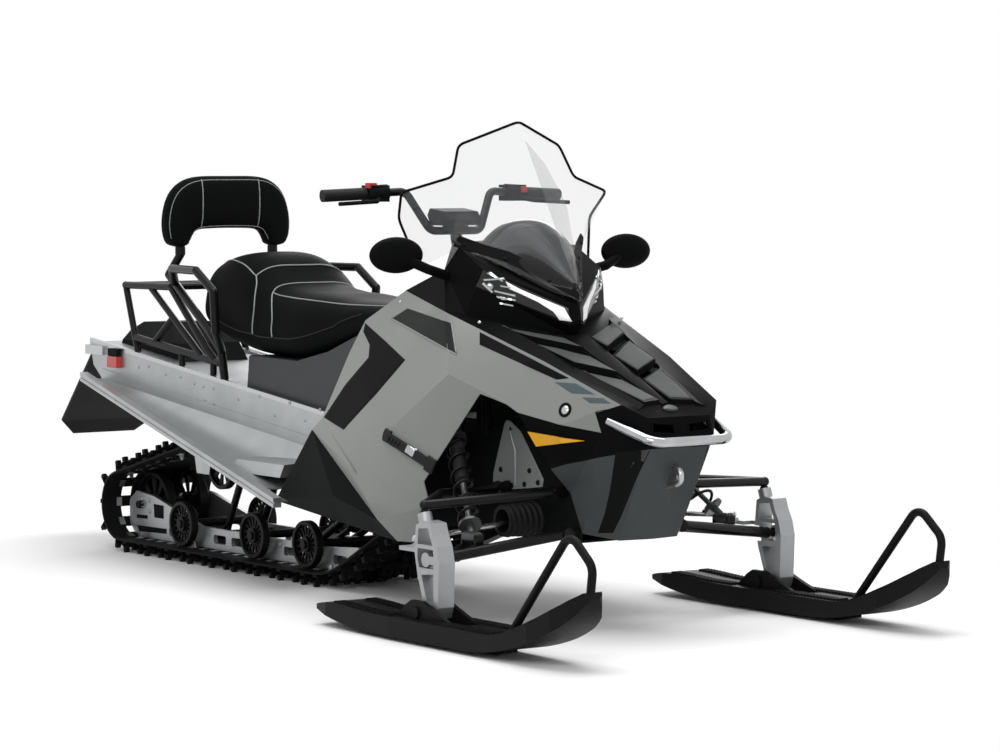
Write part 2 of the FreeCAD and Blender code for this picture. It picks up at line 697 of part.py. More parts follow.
def make_idlers():
    """Rear idler wheels on their axle, and the upper idlers on the axle between the hangers."""
    width = size("wheel_width")
    axle = size("axle_radius")
    rear = rear_axle_point()
    half = size("rail_spacing") / 2
    reach = half + size("rail_thickness") / 2 + 14
    side = size("idler_half_spacing")
    windows = size("idler_windows")
    rear_wheel = wheel(size("rear_idler_radius"), width + 6, 26.0, axle - 1, windows)
    spacer = half - size("rail_thickness") / 2
    rear_set = union([
        rod(rear + Vector(0, -reach, 0), rear + Vector(0, reach, 0), axle),
        rod(rear + Vector(0, -spacer, 0), rear + Vector(0, spacer, 0), axle + 5),
        moved(rear_wheel, rear + Vector(0, -side, 0)), moved(rear_wheel, rear + Vector(0, side, 0)),
    ])
    upper = Vector(size("upper_idler_x"), 0, size("upper_idler_height"))
    wall = size("tunnel_width") / 2 - size("sheet_thickness")
    upper_wheel = wheel(size("upper_idler_radius"), width, 20.0, axle - 1, windows)
    upper_set = union([
        rod(upper + Vector(0, -wall, 0), upper + Vector(0, wall, 0), axle),
        moved(upper_wheel, upper + Vector(0, -half - 30, 0)),
        moved(upper_wheel, upper + Vector(0, half + 30, 0)),
    ])
    return Part.makeCompound([rear_set, upper_set])


feature("skid_wheels", Part.makeCompound([make_bogies(), make_idlers()]))


def make_skid_arms():
    """Two swinging arms between the rails and the tunnel, the front one with its damper."""
    half = size("rail_spacing") / 2 - size("rail_thickness") / 2
    wall = size("tunnel_width") / 2 - size("sheet_thickness")
    radius = 13.0
    upper_idler = Vector(size("upper_idler_x"), 0, size("upper_idler_height"))
    rear_low = Vector(-800.0, 0, ground_line() + size("rail_height") - 22)
    front_low = Vector(-330.0, 0, ground_line() + size("rail_height") - 16)
    front_high = Vector(60.0, 0, 292.0)
    across = Vector(0, 1, 0)
    spread = 62.0
    shapes = []
    rear_high = upper_idler - Vector(0, 0, size("axle_radius") + radius + size("clearance"))
    for low, high, high_reach in ((rear_low, rear_high, spread + 20), (front_low, front_high, wall)):
        parts = [rod(low - across * half, low + across * half, radius),
                 rod(high - across * high_reach, high + across * high_reach, radius)]
        for side in (-1, 1):
            parts.append(rod(low + across * side * spread, high + across * side * spread, radius - 2))
        shapes.append(parts)
    bar = along(front_low, front_high, 0.82)
    shapes[1] += [rod(bar - across * spread, bar + across * spread, 9.0),
                  rod(along(front_low, front_high, 0.32), along(front_low, front_high, 0.62), 21.0),
                  rod(front_low, bar, 8.0)]
    return Part.makeCompound([union(parts) for parts in shapes])


feature("skid_arms", make_skid_arms())


def make_drive_axle():
    """Drive shaft across the tunnel with two toothed sprockets."""
    wall = size("tunnel_width") / 2 - size("sheet_thickness")
    centre = Vector(size("drive_x"), 0, size("drive_height"))
    shaft = rod(centre + Vector(0, -wall, 0), centre + Vector(0, wall, 0), 16.0)
    teeth = 8
    radius = size("drive_radius")
    parts = [shaft]
    for side in (-1, 1):
        disc = rod(centre + Vector(0, side * 80 - 14, 0), centre + Vector(0, side * 80 + 14, 0), radius - 12)
        for i in range(teeth):
            tooth = Part.makeBox(24, 28, 16, Vector(-12, -14, radius - 16))
            tooth.rotate(Vector(0, 0, 0), Vector(0, 1, 0), i * 360 / teeth)
            disc = disc.fuse(moved(tooth, centre + Vector(0, side * 80, 0)))
        parts.append(disc)
    return union(parts)


feature("drive_axle", make_drive_axle())


# Bulkhead: folded channel ahead of the tunnel that carries the engine, arms and steering


def bulkhead_section(x, half, low, high):
    """Open channel section across the machine, as a closed line."""
    wall = size("plate_thickness")
    points = [(-half, high), (-half, low), (half, low), (half, high), (half - wall, high),
              (half - wall, low + wall), (-half + wall, low + wall), (-half + wall, high)]
    corners = [Vector(x, y, z) for y, z in points]
    return Part.makePolygon(corners + [corners[0]])


def post_axis():
    """Upper and lower end of the steering post."""
    top = Vector(size("post_top_x"), 0, size("post_top_height"))
    low = Vector(size("post_low_x"), 0, size("post_low_height"))
    return top, low


ARM_UPPER = [(1000.0, 164.0, 352.0), (760.0, 164.0, 346.0)]
ARM_LOWER = [(1044.0, 164.0, 250.0), (780.0, 164.0, 236.0)]
UPPER_REAR_BEND = (778.0, 380.0, 342.0)
SHOCK_TOP = Vector(645.0, -256.0, 540.0)
SHOCK_FOOT = Vector(955.0, -405.0, 248.0)
SHOCK_EYE = 26.0
STEERING_SLOT = (60.0, 60.0)
SHOCK_CAP = 18.0
BOOT_SHIFT = Vector(8.0, 0.0, 2.0)
BULKHEAD_DROP = 14.0
ENGINE_FLOOR = size("tunnel_front_bottom") - BULKHEAD_DROP + size("plate_thickness")
ENGINE_TOP = ENGINE_FLOOR + size("engine_height")


def make_bulkhead():
    """Channel with the post's boss and stays, the arms' bosses and the panels' bracket."""
    rear = size("tunnel_front_x")
    half_tunnel = size("tunnel_width") / 2
    front_half = size("arm_pivot_offset") - 14
    floor = size("tunnel_front_bottom") - BULKHEAD_DROP
    stations = [(rear, half_tunnel, floor, 430.0), (715.0, front_half, floor, 500.0),
                (839.0, front_half, floor, 508.0), (1017.0, front_half, floor, 371.0),
                (1066.0, front_half, floor, 322.0)]
    wires = [bulkhead_section(*station) for station in stations]
    pieces = [Part.makeLoft([a, b], True, True) for a, b in zip(wires, wires[1:])]
    top, low = post_axis()
    axis = (low - top).normalize()
    boss = rod(low - axis * 60, low + axis * 6, size("post_radius") + 10)
    pieces.append(boss)
    holder = low - axis * 22
    above_engine = ENGINE_TOP + 26
    for side in (-1, 1):
        end = holder + Vector(0, side * 14, 0)
        rear_foot = Vector(560.0, side * (front_half + 16), 440.0)
        rear_knee = Vector(rear_foot.x, side * (front_half + 10), above_engine)
        pieces.append(tube_run([rear_foot, rear_knee, end], 10.0))
        front_foot = Vector(770.0, side * (front_half - 3), 490.0)
        front_knee = Vector(front_foot.x - 20, side * (front_half - 20), above_engine)
        pieces.append(tube_run([front_foot, front_knee, end], 10.0))
        outer = Vector(SHOCK_TOP.x, -side * SHOCK_TOP.y, SHOCK_TOP.z + SHOCK_CAP + 30)
        inner = Vector(SHOCK_TOP.x + 25, side * (front_half + 10), 470.0)
        pieces.append(tube_run([inner, Vector(inner.x, inner.y, outer.z), outer], 12.0))
        pieces.append(rod(outer, outer - Vector(0, 0, 30 - size("clearance")), 12.0))
    for x, offset, z in ARM_UPPER + ARM_LOWER:
        for side in (-1, 1):
            start = Vector(x, side * (front_half - 3), z)
            length = offset - front_half + 3 - size("clearance")
            pieces.append(rod(start, start + Vector(0, side * length, 0), 16.0))
    outside = skin_slab(PANEL_FACETS, size("panel_thickness") + size("clearance"), -60.0)
    bracket = rod(Vector(600.0, 3 - front_half, 430.0), Vector(600.0, -440.0, 430.0), 10.0).cut(outside)
    solid = union(pieces + [bracket, mirrored(bracket)])
    bore = rod(low - axis * 80, low + axis * 3, size("post_radius") + size("bore_clearance"))
    long, high = STEERING_SLOT
    slot = Part.makeBox(long, 4 * front_half, high,
                        Vector(size("tie_ball_x") + BOOT_SHIFT.x - long / 2, -2 * front_half,
                               size("tie_inner_height") + BOOT_SHIFT.z - high / 2))
    return solid.cut(bore).cut(slot)


feature("bulkhead", make_bulkhead())

engine = document.addObject("Part::Box", "EngineBlock")
engine.Length = size("engine_length")
engine.Width = size("engine_width")
engine.Height = size("engine_height")
engine_corner = Vector(size("engine_rear_x"), -size("engine_width") / 2, ENGINE_FLOOR)
engine.Placement = Placement(engine_corner, Rotation())
keep(engine, "engine")


# Front suspension: arms, dampers, spindles, tie rods and skis. The right side is built first.


def right_ball(x_name, height_name):
    """Centre of one of the right spindle's balls."""
    return Vector(size(x_name), -size("ski_stance") / 2, size(height_name))


upper_ball = right_ball("kingpin_top_x", "kingpin_top_height")
lower_ball = right_ball("kingpin_low_x", "kingpin_low_height")


BARREL_WALL = 3.0
BARREL_HALF_LENGTH = 18.0


def make_arm(outer, stem_start, runs, radius):
    """Forked arm: a ball, its stem, and one tube to each inner pivot barrel."""
    ball = size("ball_radius")
    half_barrel = Vector(BARREL_HALF_LENGTH, 0, 0)
    pieces = [Part.makeSphere(ball, stem_start), rod(stem_start, outer, ball * 0.7),
              Part.makeSphere(radius + 1, outer)]
    for run in runs:
        inner = run[-1]
        pieces.append(tube_run([outer] + run, radius))
        pieces.append(rod(inner - half_barrel, inner + half_barrel, radius + BARREL_WALL))
    return union(pieces)


def inner_pivot(place, radius):
    """Centre of an arm's pivot barrel, seated against the boss on the bulkhead."""
    x, offset, z = place
    return Vector(x, -offset - radius - BARREL_WALL, z)


def make_shock_bridge():
    """Plate between the lower arm's tubes with two ears that hold the damper's foot."""
    plate = Part.makeBox(108, 34, 8, Vector(SHOCK_FOOT.x - 42, SHOCK_FOOT.y - 17, SHOCK_FOOT.z - 30))
    ears = []
    for side in (-1, 1):
        start_x = SHOCK_FOOT.x + side * (SHOCK_EYE + size("clearance")) - (5 if side < 0 else 0)
        ears.append(Part.makeBox(5, 26, 33, Vector(start_x, SHOCK_FOOT.y - 13, SHOCK_FOOT.z - 26)))
    return union([plate] + ears)


def make_front_arms():
    """Upper and lower arm of each side; the lower one carries the damper's bridge."""
    upper_tube = size("arm_tube_radius")
    lower_tube = upper_tube + 2
    bend_x, bend_offset, bend_z = UPPER_REAR_BEND
    upper_runs = [[inner_pivot(ARM_UPPER[0], upper_tube)],
                  [Vector(bend_x, -bend_offset, bend_z), inner_pivot(ARM_UPPER[1], upper_tube)]]
    upper_arm = make_arm(upper_ball + Vector(0, 0, 20), upper_ball, upper_runs, upper_tube)
    lower_outer = lower_ball + Vector(0, size("ball_radius") + lower_tube, 0)
    lower_runs = [[inner_pivot(place, lower_tube)] for place in ARM_LOWER]
    lower_arm = make_arm(lower_outer, lower_ball, lower_runs, lower_tube)
    lower_arm = union([lower_arm, make_shock_bridge()])
    return Part.makeCompound([upper_arm, lower_arm, mirrored(upper_arm), mirrored(lower_arm)])


feature("front_arms", make_front_arms())


def shock_axis():
    """Direction of the right damper, downwards, and the length between its ends."""
    axis = SHOCK_FOOT - SHOCK_TOP
    length = axis.Length
    return axis.normalize(), length


def make_shock():
    """Damper: upper can, rod, lower eye and the two seats of its spring."""
    axis, length = shock_axis()
    can = rod(SHOCK_TOP, SHOCK_TOP + axis * 150, 20.0)
    cap = rod(SHOCK_TOP + Vector(0, 0, SHOCK_CAP), SHOCK_TOP - Vector(0, 0, 10), 13.0)
    shaft = rod(SHOCK_TOP + axis * 140, SHOCK_FOOT, 7.0)
    lower = rod(SHOCK_TOP + axis * (length - 50), SHOCK_FOOT, 10.0)
    eye = rod(SHOCK_FOOT - Vector(SHOCK_EYE, 0, 0), SHOCK_FOOT + Vector(SHOCK_EYE, 0, 0), 15.0)
    collar = rod(SHOCK_TOP + axis * 96, SHOCK_TOP + axis * 106, 29.0)
    seat = rod(SHOCK_TOP + axis * (length - 46), SHOCK_TOP + axis * (length - 38), 29.0)
    return union([can, cap, shaft, lower, eye, collar, seat])


feature("shocks", pair(make_shock()))


def make_spring():
    """Coil spring between the two seats of the damper."""
    axis, length = shock_axis()
    wire = 4.2
    start = 106.0 + wire + size("clearance")
    height = length - 46 - wire - size("clearance") - start
    radius = 25.2
    helix = Part.makeHelix(height / 6, height, radius)
    section = Part.Wire(Part.makeCircle(wire, Vector(radius, 0, 0), Vector(0, 1, 0)))
    coil = Part.Wire(helix).makePipeShell([section], True, True)
    coil.Placement = Placement(SHOCK_TOP + axis * start, Rotation(Vector(0, 0, 1), axis))
    return coil


feature("shock_springs", pair(make_spring()))


def cup(centre, axis, radius, depth):
    """Half socket round a ball: a boss along an axis with a spherical hollow."""
    boss = rod(centre, centre + axis * depth, radius)
    return boss.cut(Part.makeSphere(size("ball_radius") + size("ball_gap"), centre))


TIE_BALL_RADIUS = 11.0


def tie_ball():
    """Centre of the tie rod's outer ball on the right side."""
    across = size("tie_ball_offset") - size("ski_stance") / 2
    return Vector(size("tie_ball_x"), across, size("tie_ball_height"))


def make_spindle():
    """Cast spindle: faceted column with two windows, a pocket on each side and the bolt's bore.

    A recess behind the column clears the lower arm's rear tube when the ski is steered.
    """
    centre = -size("ski_stance") / 2
    half = size("spindle_width") / 2
    bolt = Vector(size("ski_bolt_x"), centre, size("ski_bolt_height"))
    outline = [
        (948.0, 288.0), (975.0, 300.0), (1012.0, 296.0), (1022.0, 268.0), (1038.0, 240.0),
        (1048.0, 200.0), (1044.0, 90.0), (1034.0, 62.0), (1000.0, 57.0), (962.0, 57.0),
        (952.0, 74.0), (960.0, 94.0), (978.0, 104.0), (955.0, 165.0), (941.0, 225.0),
    ]
    window_upper = [(960.0, 280.0), (1000.0, 284.0), (1012.0, 258.0), (1020.0, 242.0),
                    (955.0, 242.0)]
    window_middle = [(956.0, 232.0), (1022.0, 232.0), (1026.0, 205.0), (1024.0, 184.0),
                     (962.0, 184.0), (955.0, 205.0)]
    pocket = [(972.0, 166.0), (1024.0, 172.0), (1024.0, 96.0), (998.0, 96.0)]
    body = side_plate(outline, centre - half, centre + half)
    for window in (window_upper, window_middle):
        body = body.cut(side_plate(window, centre - 2 * half, centre + 2 * half))
    for outer, inner in ((centre - 2 * half, centre - 4), (centre + 4, centre + 2 * half)):
        body = body.cut(side_plate(pocket, outer, inner))
    arm_recess = Part.makeBox(30, 15, 40, Vector(938, centre + half - 14, 180))
    body = body.cut(arm_recess)
    kingpin = (upper_ball - lower_ball).normalize()
    top_cup = cup(upper_ball, -kingpin, 18.0, upper_ball.z - 286)
    low_cup = cup(lower_ball, Vector(0, -1, 0), 18.0, half)
    low_pin = rod(lower_ball - kingpin * 16, lower_ball - kingpin * 34, 14.0)
    web = Part.makeBox(46, 8, 20, Vector(lower_ball.x, centre - half, lower_ball.z - 10))
    ball = tie_ball()
    pad_top = ball - kingpin * (TIE_BALL_RADIUS + size("clearance"))
    arm_pad = rod(pad_top, pad_top - kingpin * 12, 14.0)
    bar_corner = Vector(ball.x - 2, centre - 14, pad_top.z - 13)
    arm_bar = Part.makeBox(44, 46, 10, bar_corner).fuse(Part.makeBox(88, 16, 10, bar_corner))
    body = union([body, top_cup, low_cup, low_pin, web, arm_pad, arm_bar])
    bore = rod(bolt - Vector(0, 2 * half, 0), bolt + Vector(0, 2 * half, 0),
               size("ski_bolt_radius") + size("bore_clearance"))
    for centre_point in (upper_ball, lower_ball):
        body = body.cut(Part.makeSphere(size("ball_radius") + size("ball_gap"), centre_point))
    return body.cut(bore)


spindle = make_spindle()
feature("spindle_right", spindle)
feature("spindle_left", mirrored(spindle))


def make_tie_rod():
    """Steering rod with a ball end on the spindle's arm; its inner end is free in the boot."""
    ball = tie_ball()
    inner = Vector(ball.x, -size("tie_rod_inner_offset"), size("tie_inner_height"))
    return union([Part.makeSphere(TIE_BALL_RADIUS, ball), rod(ball, inner, size("tie_rod_radius"))])


tie_rod = make_tie_rod()
feature("tie_rod_right", tie_rod)
feature("tie_rod_left", mirrored(tie_rod))


def make_boot():
    """Ribbed rubber boot on the bulkhead round the inner end of the tie rod: a hollow bellows."""
    ribs = 6
    pitch = 17.0
    crest, valley, inside = 46.0, 40.0, 30.0
    section = [(inside, 0.0), (crest, 0.0)]
    for i in range(ribs):
        section += [(crest - i, pitch * (i + 0.35)), (valley - i, pitch * (i + 0.7)),
                    (crest - i - 1, pitch * (i + 1.0))]
    section += [(inside, pitch * ribs)]
    points = [Vector(r, -v, 0) for r, v in section]
    ring = Part.Face(Part.makePolygon(points + [points[0]]))
    boot = ring.revolve(Vector(0, 0, 0), Vector(0, 1, 0), 360)
    boot.translate(Vector(size("tie_ball_x"), 14 - size("arm_pivot_offset"), size("tie_inner_height")))
    return moved(boot, BOOT_SHIFT)


def smooth(points):
    """Curve through points, as an edge."""
    curve = Part.BSplineCurve()
    curve.interpolate(points)
    return curve.toShape()


def ski_side(inner_y, outer_y):
    """Blade seen from the side: raised heel, flat running part and upswept tip."""
    heel, tip = size("ski_heel_x"), size("ski_tip_x")
    sole = size("keel_depth")
    top = 58.0
    runs = [
        [(heel, 40.0), (620.0, 24.0), (700.0, 14.0), (790.0, sole)],
        [(790.0, sole), (1230.0, sole)],
        [(1230.0, sole), (1330.0, 19.0), (1450.0, 47.0), (1550.0, 86.0), (1620.0, 131.0),
         (tip, 172.0)],
        [(tip, 172.0), (tip - 10, 188.0)],
        [(tip - 10, 188.0), (1560.0, 143.0), (1450.0, 95.0), (1360.0, 66.0), (1300.0, top)],
        [(1300.0, top), (820.0, top)],
        [(820.0, top), (720.0, 62.0), (620.0, 64.0), (heel, 52.0)],
        [(heel, 52.0), (heel, 40.0)],
    ]
    edges = []
    for run in runs:
        points = [Vector(x, inner_y, z) for x, z in run]
        edges.append(smooth(points) if len(points) > 2 else Part.makeLine(*points))
    return Part.Face(Part.Wire(edges)).extrude(Vector(0, outer_y - inner_y, 0))


def ski_plan(centre):
    """Plan of the ski: widest ahead of the bolt, rounded at the tip and heel."""
    half = size("ski_width") / 2
    heel, tip = size("ski_heel_x"), size("ski_tip_x")
    right = [(heel, half - 25), (heel + 60, half - 12), (900.0, half), (1480.0, half),
             (1560.0, half - 9), (1610.0, half - 26), (tip - 12, half - 46), (tip, half - 62)]
    left = [(x, -y) for x, y in reversed(right)]
    return [(x, centre + y) for x, y in right + left]


def make_ski():
    """Plastic ski with its saddle ears, bolt, keel and the tube loop at the tip."""
    centre = -size("ski_stance") / 2
    half = size("ski_width") / 2
    bolt = Vector(size("ski_bolt_x"), centre, size("ski_bolt_height"))
    side = ski_side(centre - half, centre + half)
    plan = prism([Vector(x, y, 0) for x, y in ski_plan(centre)], Vector(0, 0, 260))
    blade = side.common(plan)
    inner = size("spindle_width") / 2 + size("saddle_gap")
    channel = Part.makeBox(270, 2 * inner, 60, Vector(880, centre - inner, 34))
    keel = side_plate([(760.0, 12.0), (800.0, 0.0), (1260.0, 0.0), (1330.0, 12.0), (1330.0, 24.0),
                       (760.0, 24.0)], centre - 10, centre + 10)
    ears = []
    for side_sign in (-1, 1):
        start = centre + side_sign * inner
        ears.append(side_plate([(880.0, 50.0), (930.0, 92.0), (952.0, 104.0), (1000.0, 104.0),
                                (1040.0, 88.0), (1150.0, 50.0)], start, start + side_sign * 12))
    pin = rod(bolt - Vector(0, inner + 18, 0), bolt + Vector(0, inner + 18, 0), size("ski_bolt_radius"))
    heads = [rod(bolt + Vector(0, s * (inner + 11), 0), bolt + Vector(0, s * (inner + 18), 0), 15.0)
             for s in (-1, 1)]
    loop = bent_tube([Vector(1318.0, centre, 56.0), Vector(1552.0, centre, 318.0),
                      Vector(1641.0, centre, 246.0), Vector(1628.0, centre, 160.0)], 10.5, 38.0)
    return union([blade.cut(channel), keel] + ears + [pin] + heads + [loop])


ski = make_ski()
feature("ski_right", ski)
feature("ski_left", mirrored(ski))

feature("boots", pair(make_boot()))


# Steering: post in its bearing, handlebar with grips, controls and gauge


def make_post():
    """Steering post with its collar, the ball at its top and the neck that holds the bar."""
    top, low = post_axis()
    axis = (low - top).normalize()
    bar_centre = Vector(size("bar_x"), 0, size("bar_height"))
    collar = rod(low - axis * (60 + 12), low - axis * (60 + size("clearance")), size("post_radius") + 8)
    down = (top - bar_centre).normalize()
    neck = rod(top, bar_centre + down * (size("bar_radius") + size("clearance")), 16.0)
    return union([rod(top, low, size("post_radius")), collar, neck, Part.makeSphere(16.0, top)])


def bar_points():
    """Corners of the handlebar's right and left half, from the right end to the left."""
    centre_x, centre_z = size("bar_x"), size("bar_height")
    right = [Vector(243.0, -size("bar_half_width"), 1093.0), Vector(268.0, -140.0, 1104.0),
             Vector(centre_x, -82.0, centre_z)]
    left = [Vector(p.x, -p.y, p.z) for p in reversed(right)]
    return right, left


def make_handlebar():
    """Bent tube from grip to grip."""
    right, left = bar_points()
    return bent_tube(right + left, size("bar_radius"), 30.0)


def make_grips():
    """Rubber sleeve of the right grip."""
    right, left = bar_points()
    inward = (right[1] - right[0]).normalize()
    start = right[0] - inward * 3
    end = right[0] + inward * size("grip_length")
    bore = rod(right[0] - inward * size("bore_clearance"), end + inward,
               size("bar_radius") + size("bore_clearance"))
    return rod(start, end, size("grip_radius")).cut(bore)


def make_controls():
    """Switch block and lever on the bar, just inside the grip."""
    right, left = bar_points()
    inward = (right[1] - right[0]).normalize()
    start = right[0] + inward * (size("grip_length") + 4)
    block = rod(start, start + inward * 62, 22.0)
    housing = Part.makeBox(46, 60, 44, Vector(start.x - 26, start.y + 2, start.z - 22))
    lever_root = start + inward * 30 + Vector(14, 0, -14)
    lever = tube_run([lever_root, lever_root + Vector(36, -30, -8), lever_root + Vector(36, -150, -14)], 5.5)
    shape = union([block, housing, lever])
    bore = size("bar_radius") + size("bore_clearance")
    return shape.cut(rod(start - inward * 20, start + inward * 90, bore))


feature("handlebar", Part.makeCompound([make_handlebar(), make_post()]))
feature("grips", pair(make_grips()))


def make_gauge():
    """Gauge housing clamped over the middle of the bar."""
    centre = Vector(size("bar_x"), 0, size("bar_height"))
    outline = [(-38.0, 14.0), (-52.0, 42.0), (-40.0, 60.0), (26.0, 52.0), (44.0, 30.0), (36.0, 14.0)]
    block = side_plate([(centre.x + u, centre.z + v) for u, v in outline], -56.0, 56.0)
    clamp = Part.makeBox(36, 60, 22, Vector(centre.x - 18, -30, centre.z - 2))
    bore = size("bar_radius") + size("bore_clearance")
    hole = rod(centre - Vector(0, 80, 0), centre + Vector(0, 80, 0), bore)
    return union([block, clamp]).cut(hole)


feature("bar_controls", Part.makeCompound([pair(make_controls()), make_gauge()]))


# Bodywork


def from_nose_corner(back, outwards):
    """Plan of a place on the right half, as x and distance from the middle, near the nose's corner."""
    x, y, z = BODY["nose_corner"]
    return (x - back, outwards - y)


# Plan of each louvre on the right half as x and distance from the middle, back edge first
HOOD_LOUVRES = [
    [(760, 184), (848, 40), (930, 38), (850, 155)],
    [(875, 152), (955, 36), (1062, 33), (1010, 132)],
    [(1035, 129), (1085, 31), (1215, 18), from_nose_corner(40, -19)],
]
HOOD_MIDDLE_RIB = [(850, 36), (1222, 13), (1222, 0), (850, 0)]
HOOD_OUTER_RIB = [(712, 232), from_nose_corner(26, 9), from_nose_corner(36, -15), (752, 178)]
NOSE_OPENING = [(-84.0, 537.0), (-22.0, 531.0), (-21.0, 512.0), (-88.0, 517.0)]
TOW_EYE_SHARE = 0.36


def make_tow_eye():
    """Upright plate on the front of the nose with the hole for a tow shackle."""
    foot = along(Vector(*BODY["ridge_centre"]), Vector(*BODY["lip_centre"]), TOW_EYE_SHARE)
    eye = foot + Vector(size("tow_eye_reach"), 0, 0)
    outline = [foot + Vector(12.5, 0, 30), eye + Vector(4, 0, 20), eye + Vector(16, 0, 10),
               eye + Vector(16, 0, -8), eye + Vector(2, 0, -18), foot + Vector(-16, 0, -28)]
    half = Vector(0, size("tow_eye_length") / 2, 0)
    plate = prism([p - half for p in outline], half * 2)
    return plate.cut(rod(eye - half * 2, eye + half * 2, size("tow_eye_radius")))


def on_hood(x, y):
    """Place on the right half of the hood's skin straight below a point."""
    for facet in HOOD_FACETS:
        a, b, c = (Vector(*BODY[name]) for name in facet)
        area = (b.x - a.x) * (c.y - a.y) - (b.y - a.y) * (c.x - a.x)
        share_b = ((x - a.x) * (c.y - a.y) - (y - a.y) * (c.x - a.x)) / area
        share_c = ((b.x - a.x) * (y - a.y) - (b.y - a.y) * (x - a.x)) / area
        if min(share_b, share_c, 1 - share_b - share_c) > -0.001:
            return a + (b - a) * share_b + (c - a) * share_c
    raise ValueError("Place (%s, %s) lies beside the hood" % (x, y))


def raised_pad(places, rises, root=5.0):
    """Pad with four corners on the hood, each corner raised by its own height."""
    skin = [on_hood(x, -y) for x, y in places]
    top = {i: place + Vector(0, 0, rise) for i, (place, rise) in enumerate(zip(skin, rises))}
    foot = {i: place - Vector(0, 0, root) for i, place in enumerate(skin)}
    return shell(top, foot, [(0, 1, 2), (0, 2, 3)])


def make_hood(moulding):
    """Hood with its middle rib, two outer ribs, and louvres whose front edges stand over slots."""
    rise, rib = size("louvre_rise"), size("rib_rise")
    pads = [raised_pad(HOOD_MIDDLE_RIB, [rib / 2, rib / 2, rib, rib]),
            raised_pad(HOOD_OUTER_RIB, [2.0, 2.0, rib, rib])]
    for louvre in HOOD_LOUVRES:
        pads.append(raised_pad(louvre, [1.0, 1.0, rise, rise]))
    slots = []
    for behind, ahead in zip(HOOD_LOUVRES, HOOD_LOUVRES[1:]):
        ring = [behind[3], behind[2], ahead[1], ahead[0]]
        edges = [(x + step, y) for (x, y), step in zip(ring, (2, 2, -2, -2))]
        slots.append(prism([Vector(x, -y, 500) for x, y in edges], Vector(0, 0, 400)))
    both_sides = pads + [mirrored(pad) for pad in pads]
    solid = union([moulding] + both_sides)
    for slot in slots:
        solid = solid.cut(slot).cut(mirrored(slot))
    return solid


def make_nose(moulding):
    """Nose moulding with its two air openings and the tow eye."""
    solid = union([moulding, make_tow_eye()])
    front = [BODY[name][0] for name in ("nose_top", "nose_corner", "ridge_centre", "ridge_corner")]
    back_x, front_x = min(front) - 32, max(front) + 30
    opening = prism([Vector(back_x, y, z) for y, z in NOSE_OPENING], Vector(front_x - back_x, 0, 0))
    return solid.cut(opening).cut(mirrored(opening))


def make_bodywork():
    """The mouldings share their corners, so each meets its neighbour along a common edge."""
    corners, facets = with_left_side(BODY, ALL_FACETS)
    inside = inner_corners(corners, facets, size("panel_thickness"))

    def one(own):
        """Moulding over some facets of one side."""
        return shell(corners, inside, own)

    def across(own):
        """Moulding over some facets of the right side and their mirror images."""
        return one(with_left_side(BODY, own)[1])

    panel = one(PANEL_FACETS)
    feature("side_panel_right", panel)
    feature("side_panel_left", mirrored(panel))
    feature("footwells", pair(one(FOOTWELL_FACETS)))
    feature("hood", make_hood(across(HOOD_FACETS)))
    feature("cowl", across(COWL_FACETS))
    feature("headlights", pair(one(LAMP_FACETS)))
    feature("console", pair(one(CONSOLE_FACETS)))
    feature("nose", make_nose(across(NOSE_FACETS)))


make_bodywork()

SCREEN_CENTRE = Vector(300.0, 0.0, 1000.0)
SCREEN_SEAT = Vector(20.0, -6.0, 0.0)
SCREEN_TIP_SEAT = Vector(12.0, 0.0, 12.0)
WINDSHIELD = {
    "apex": (593, 0, 1289), "corner": (551, -164, 1227), "notch": (572, -197, 1144),
    "wing": (536, -334, 1104), "edge_high": (490, -312, 1035), "edge_low": (531, -276, 908),
    "base_side": tuple(Vector(*BODY["shield_side"]) + SCREEN_SEAT),
    "tip": tuple(Vector(*BODY["tip"]) + SCREEN_TIP_SEAT), "ridge": (768, 0, 985),
}
WINDSHIELD_FACETS = [
    ("apex", "corner", "ridge"), ("corner", "notch", "ridge"), ("notch", "base_side", "ridge"),
    ("ridge", "base_side", "tip"), ("notch", "wing", "base_side"),
    ("wing", "edge_high", "base_side"), ("edge_high", "edge_low", "base_side"),
]


def make_windshield():
    """Screen over both halves with the small feet that seat it on the cowl."""
    corners, facets = with_left_side(WINDSHIELD, WINDSHIELD_FACETS)
    inner = inner_corners(corners, facets, size("screen_thickness"), SCREEN_CENTRE)
    screen = shell(corners, inner, facets)
    inside = skin_slab(COWL_FACETS, -size("clearance"), 24.0)
    edge = corners["tip"] - corners["base_side"]
    inwards = facet_normal(("ridge", "base_side", "tip"), corners, SCREEN_CENTRE) * -20
    pads = []
    for share in (0.12, 0.5, 0.86):
        start = corners["base_side"] + edge * share + Vector(-6, 0, 6) + inwards * 0.05
        pads.append(rod(start, start + inwards, 9.0).cut(inside))
    return union([screen] + pads + [mirrored(pad) for pad in pads])


feature("windshield", make_windshield())


def make_mirror():
    """Mirror head on its stalk above the cowl's shoulder."""
    base = Vector(572.0, -205.0, 884.0)
    neck = Vector(592.0, -290.0, 906.0)
    head_centre = Vector(571.0, -374.0, 943.0)
    head = Part.makeSphere(1.0)
    matrix = FreeCAD.Matrix()
    matrix.scale(Vector(24.0, size("mirror_half_width"), 47.0))
    head = head.transformGeometry(matrix)
    head.translate(head_centre)
    thick = 13.0
    stalk = [rod(base, neck, thick), Part.makeSphere(thick, neck), rod(neck, head_centre, thick)]
    return union([head] + stalk).cut(skin_slab(COWL_FACETS[3:8], -size("clearance"), 30.0))


feature("mirrors", pair(make_mirror()))


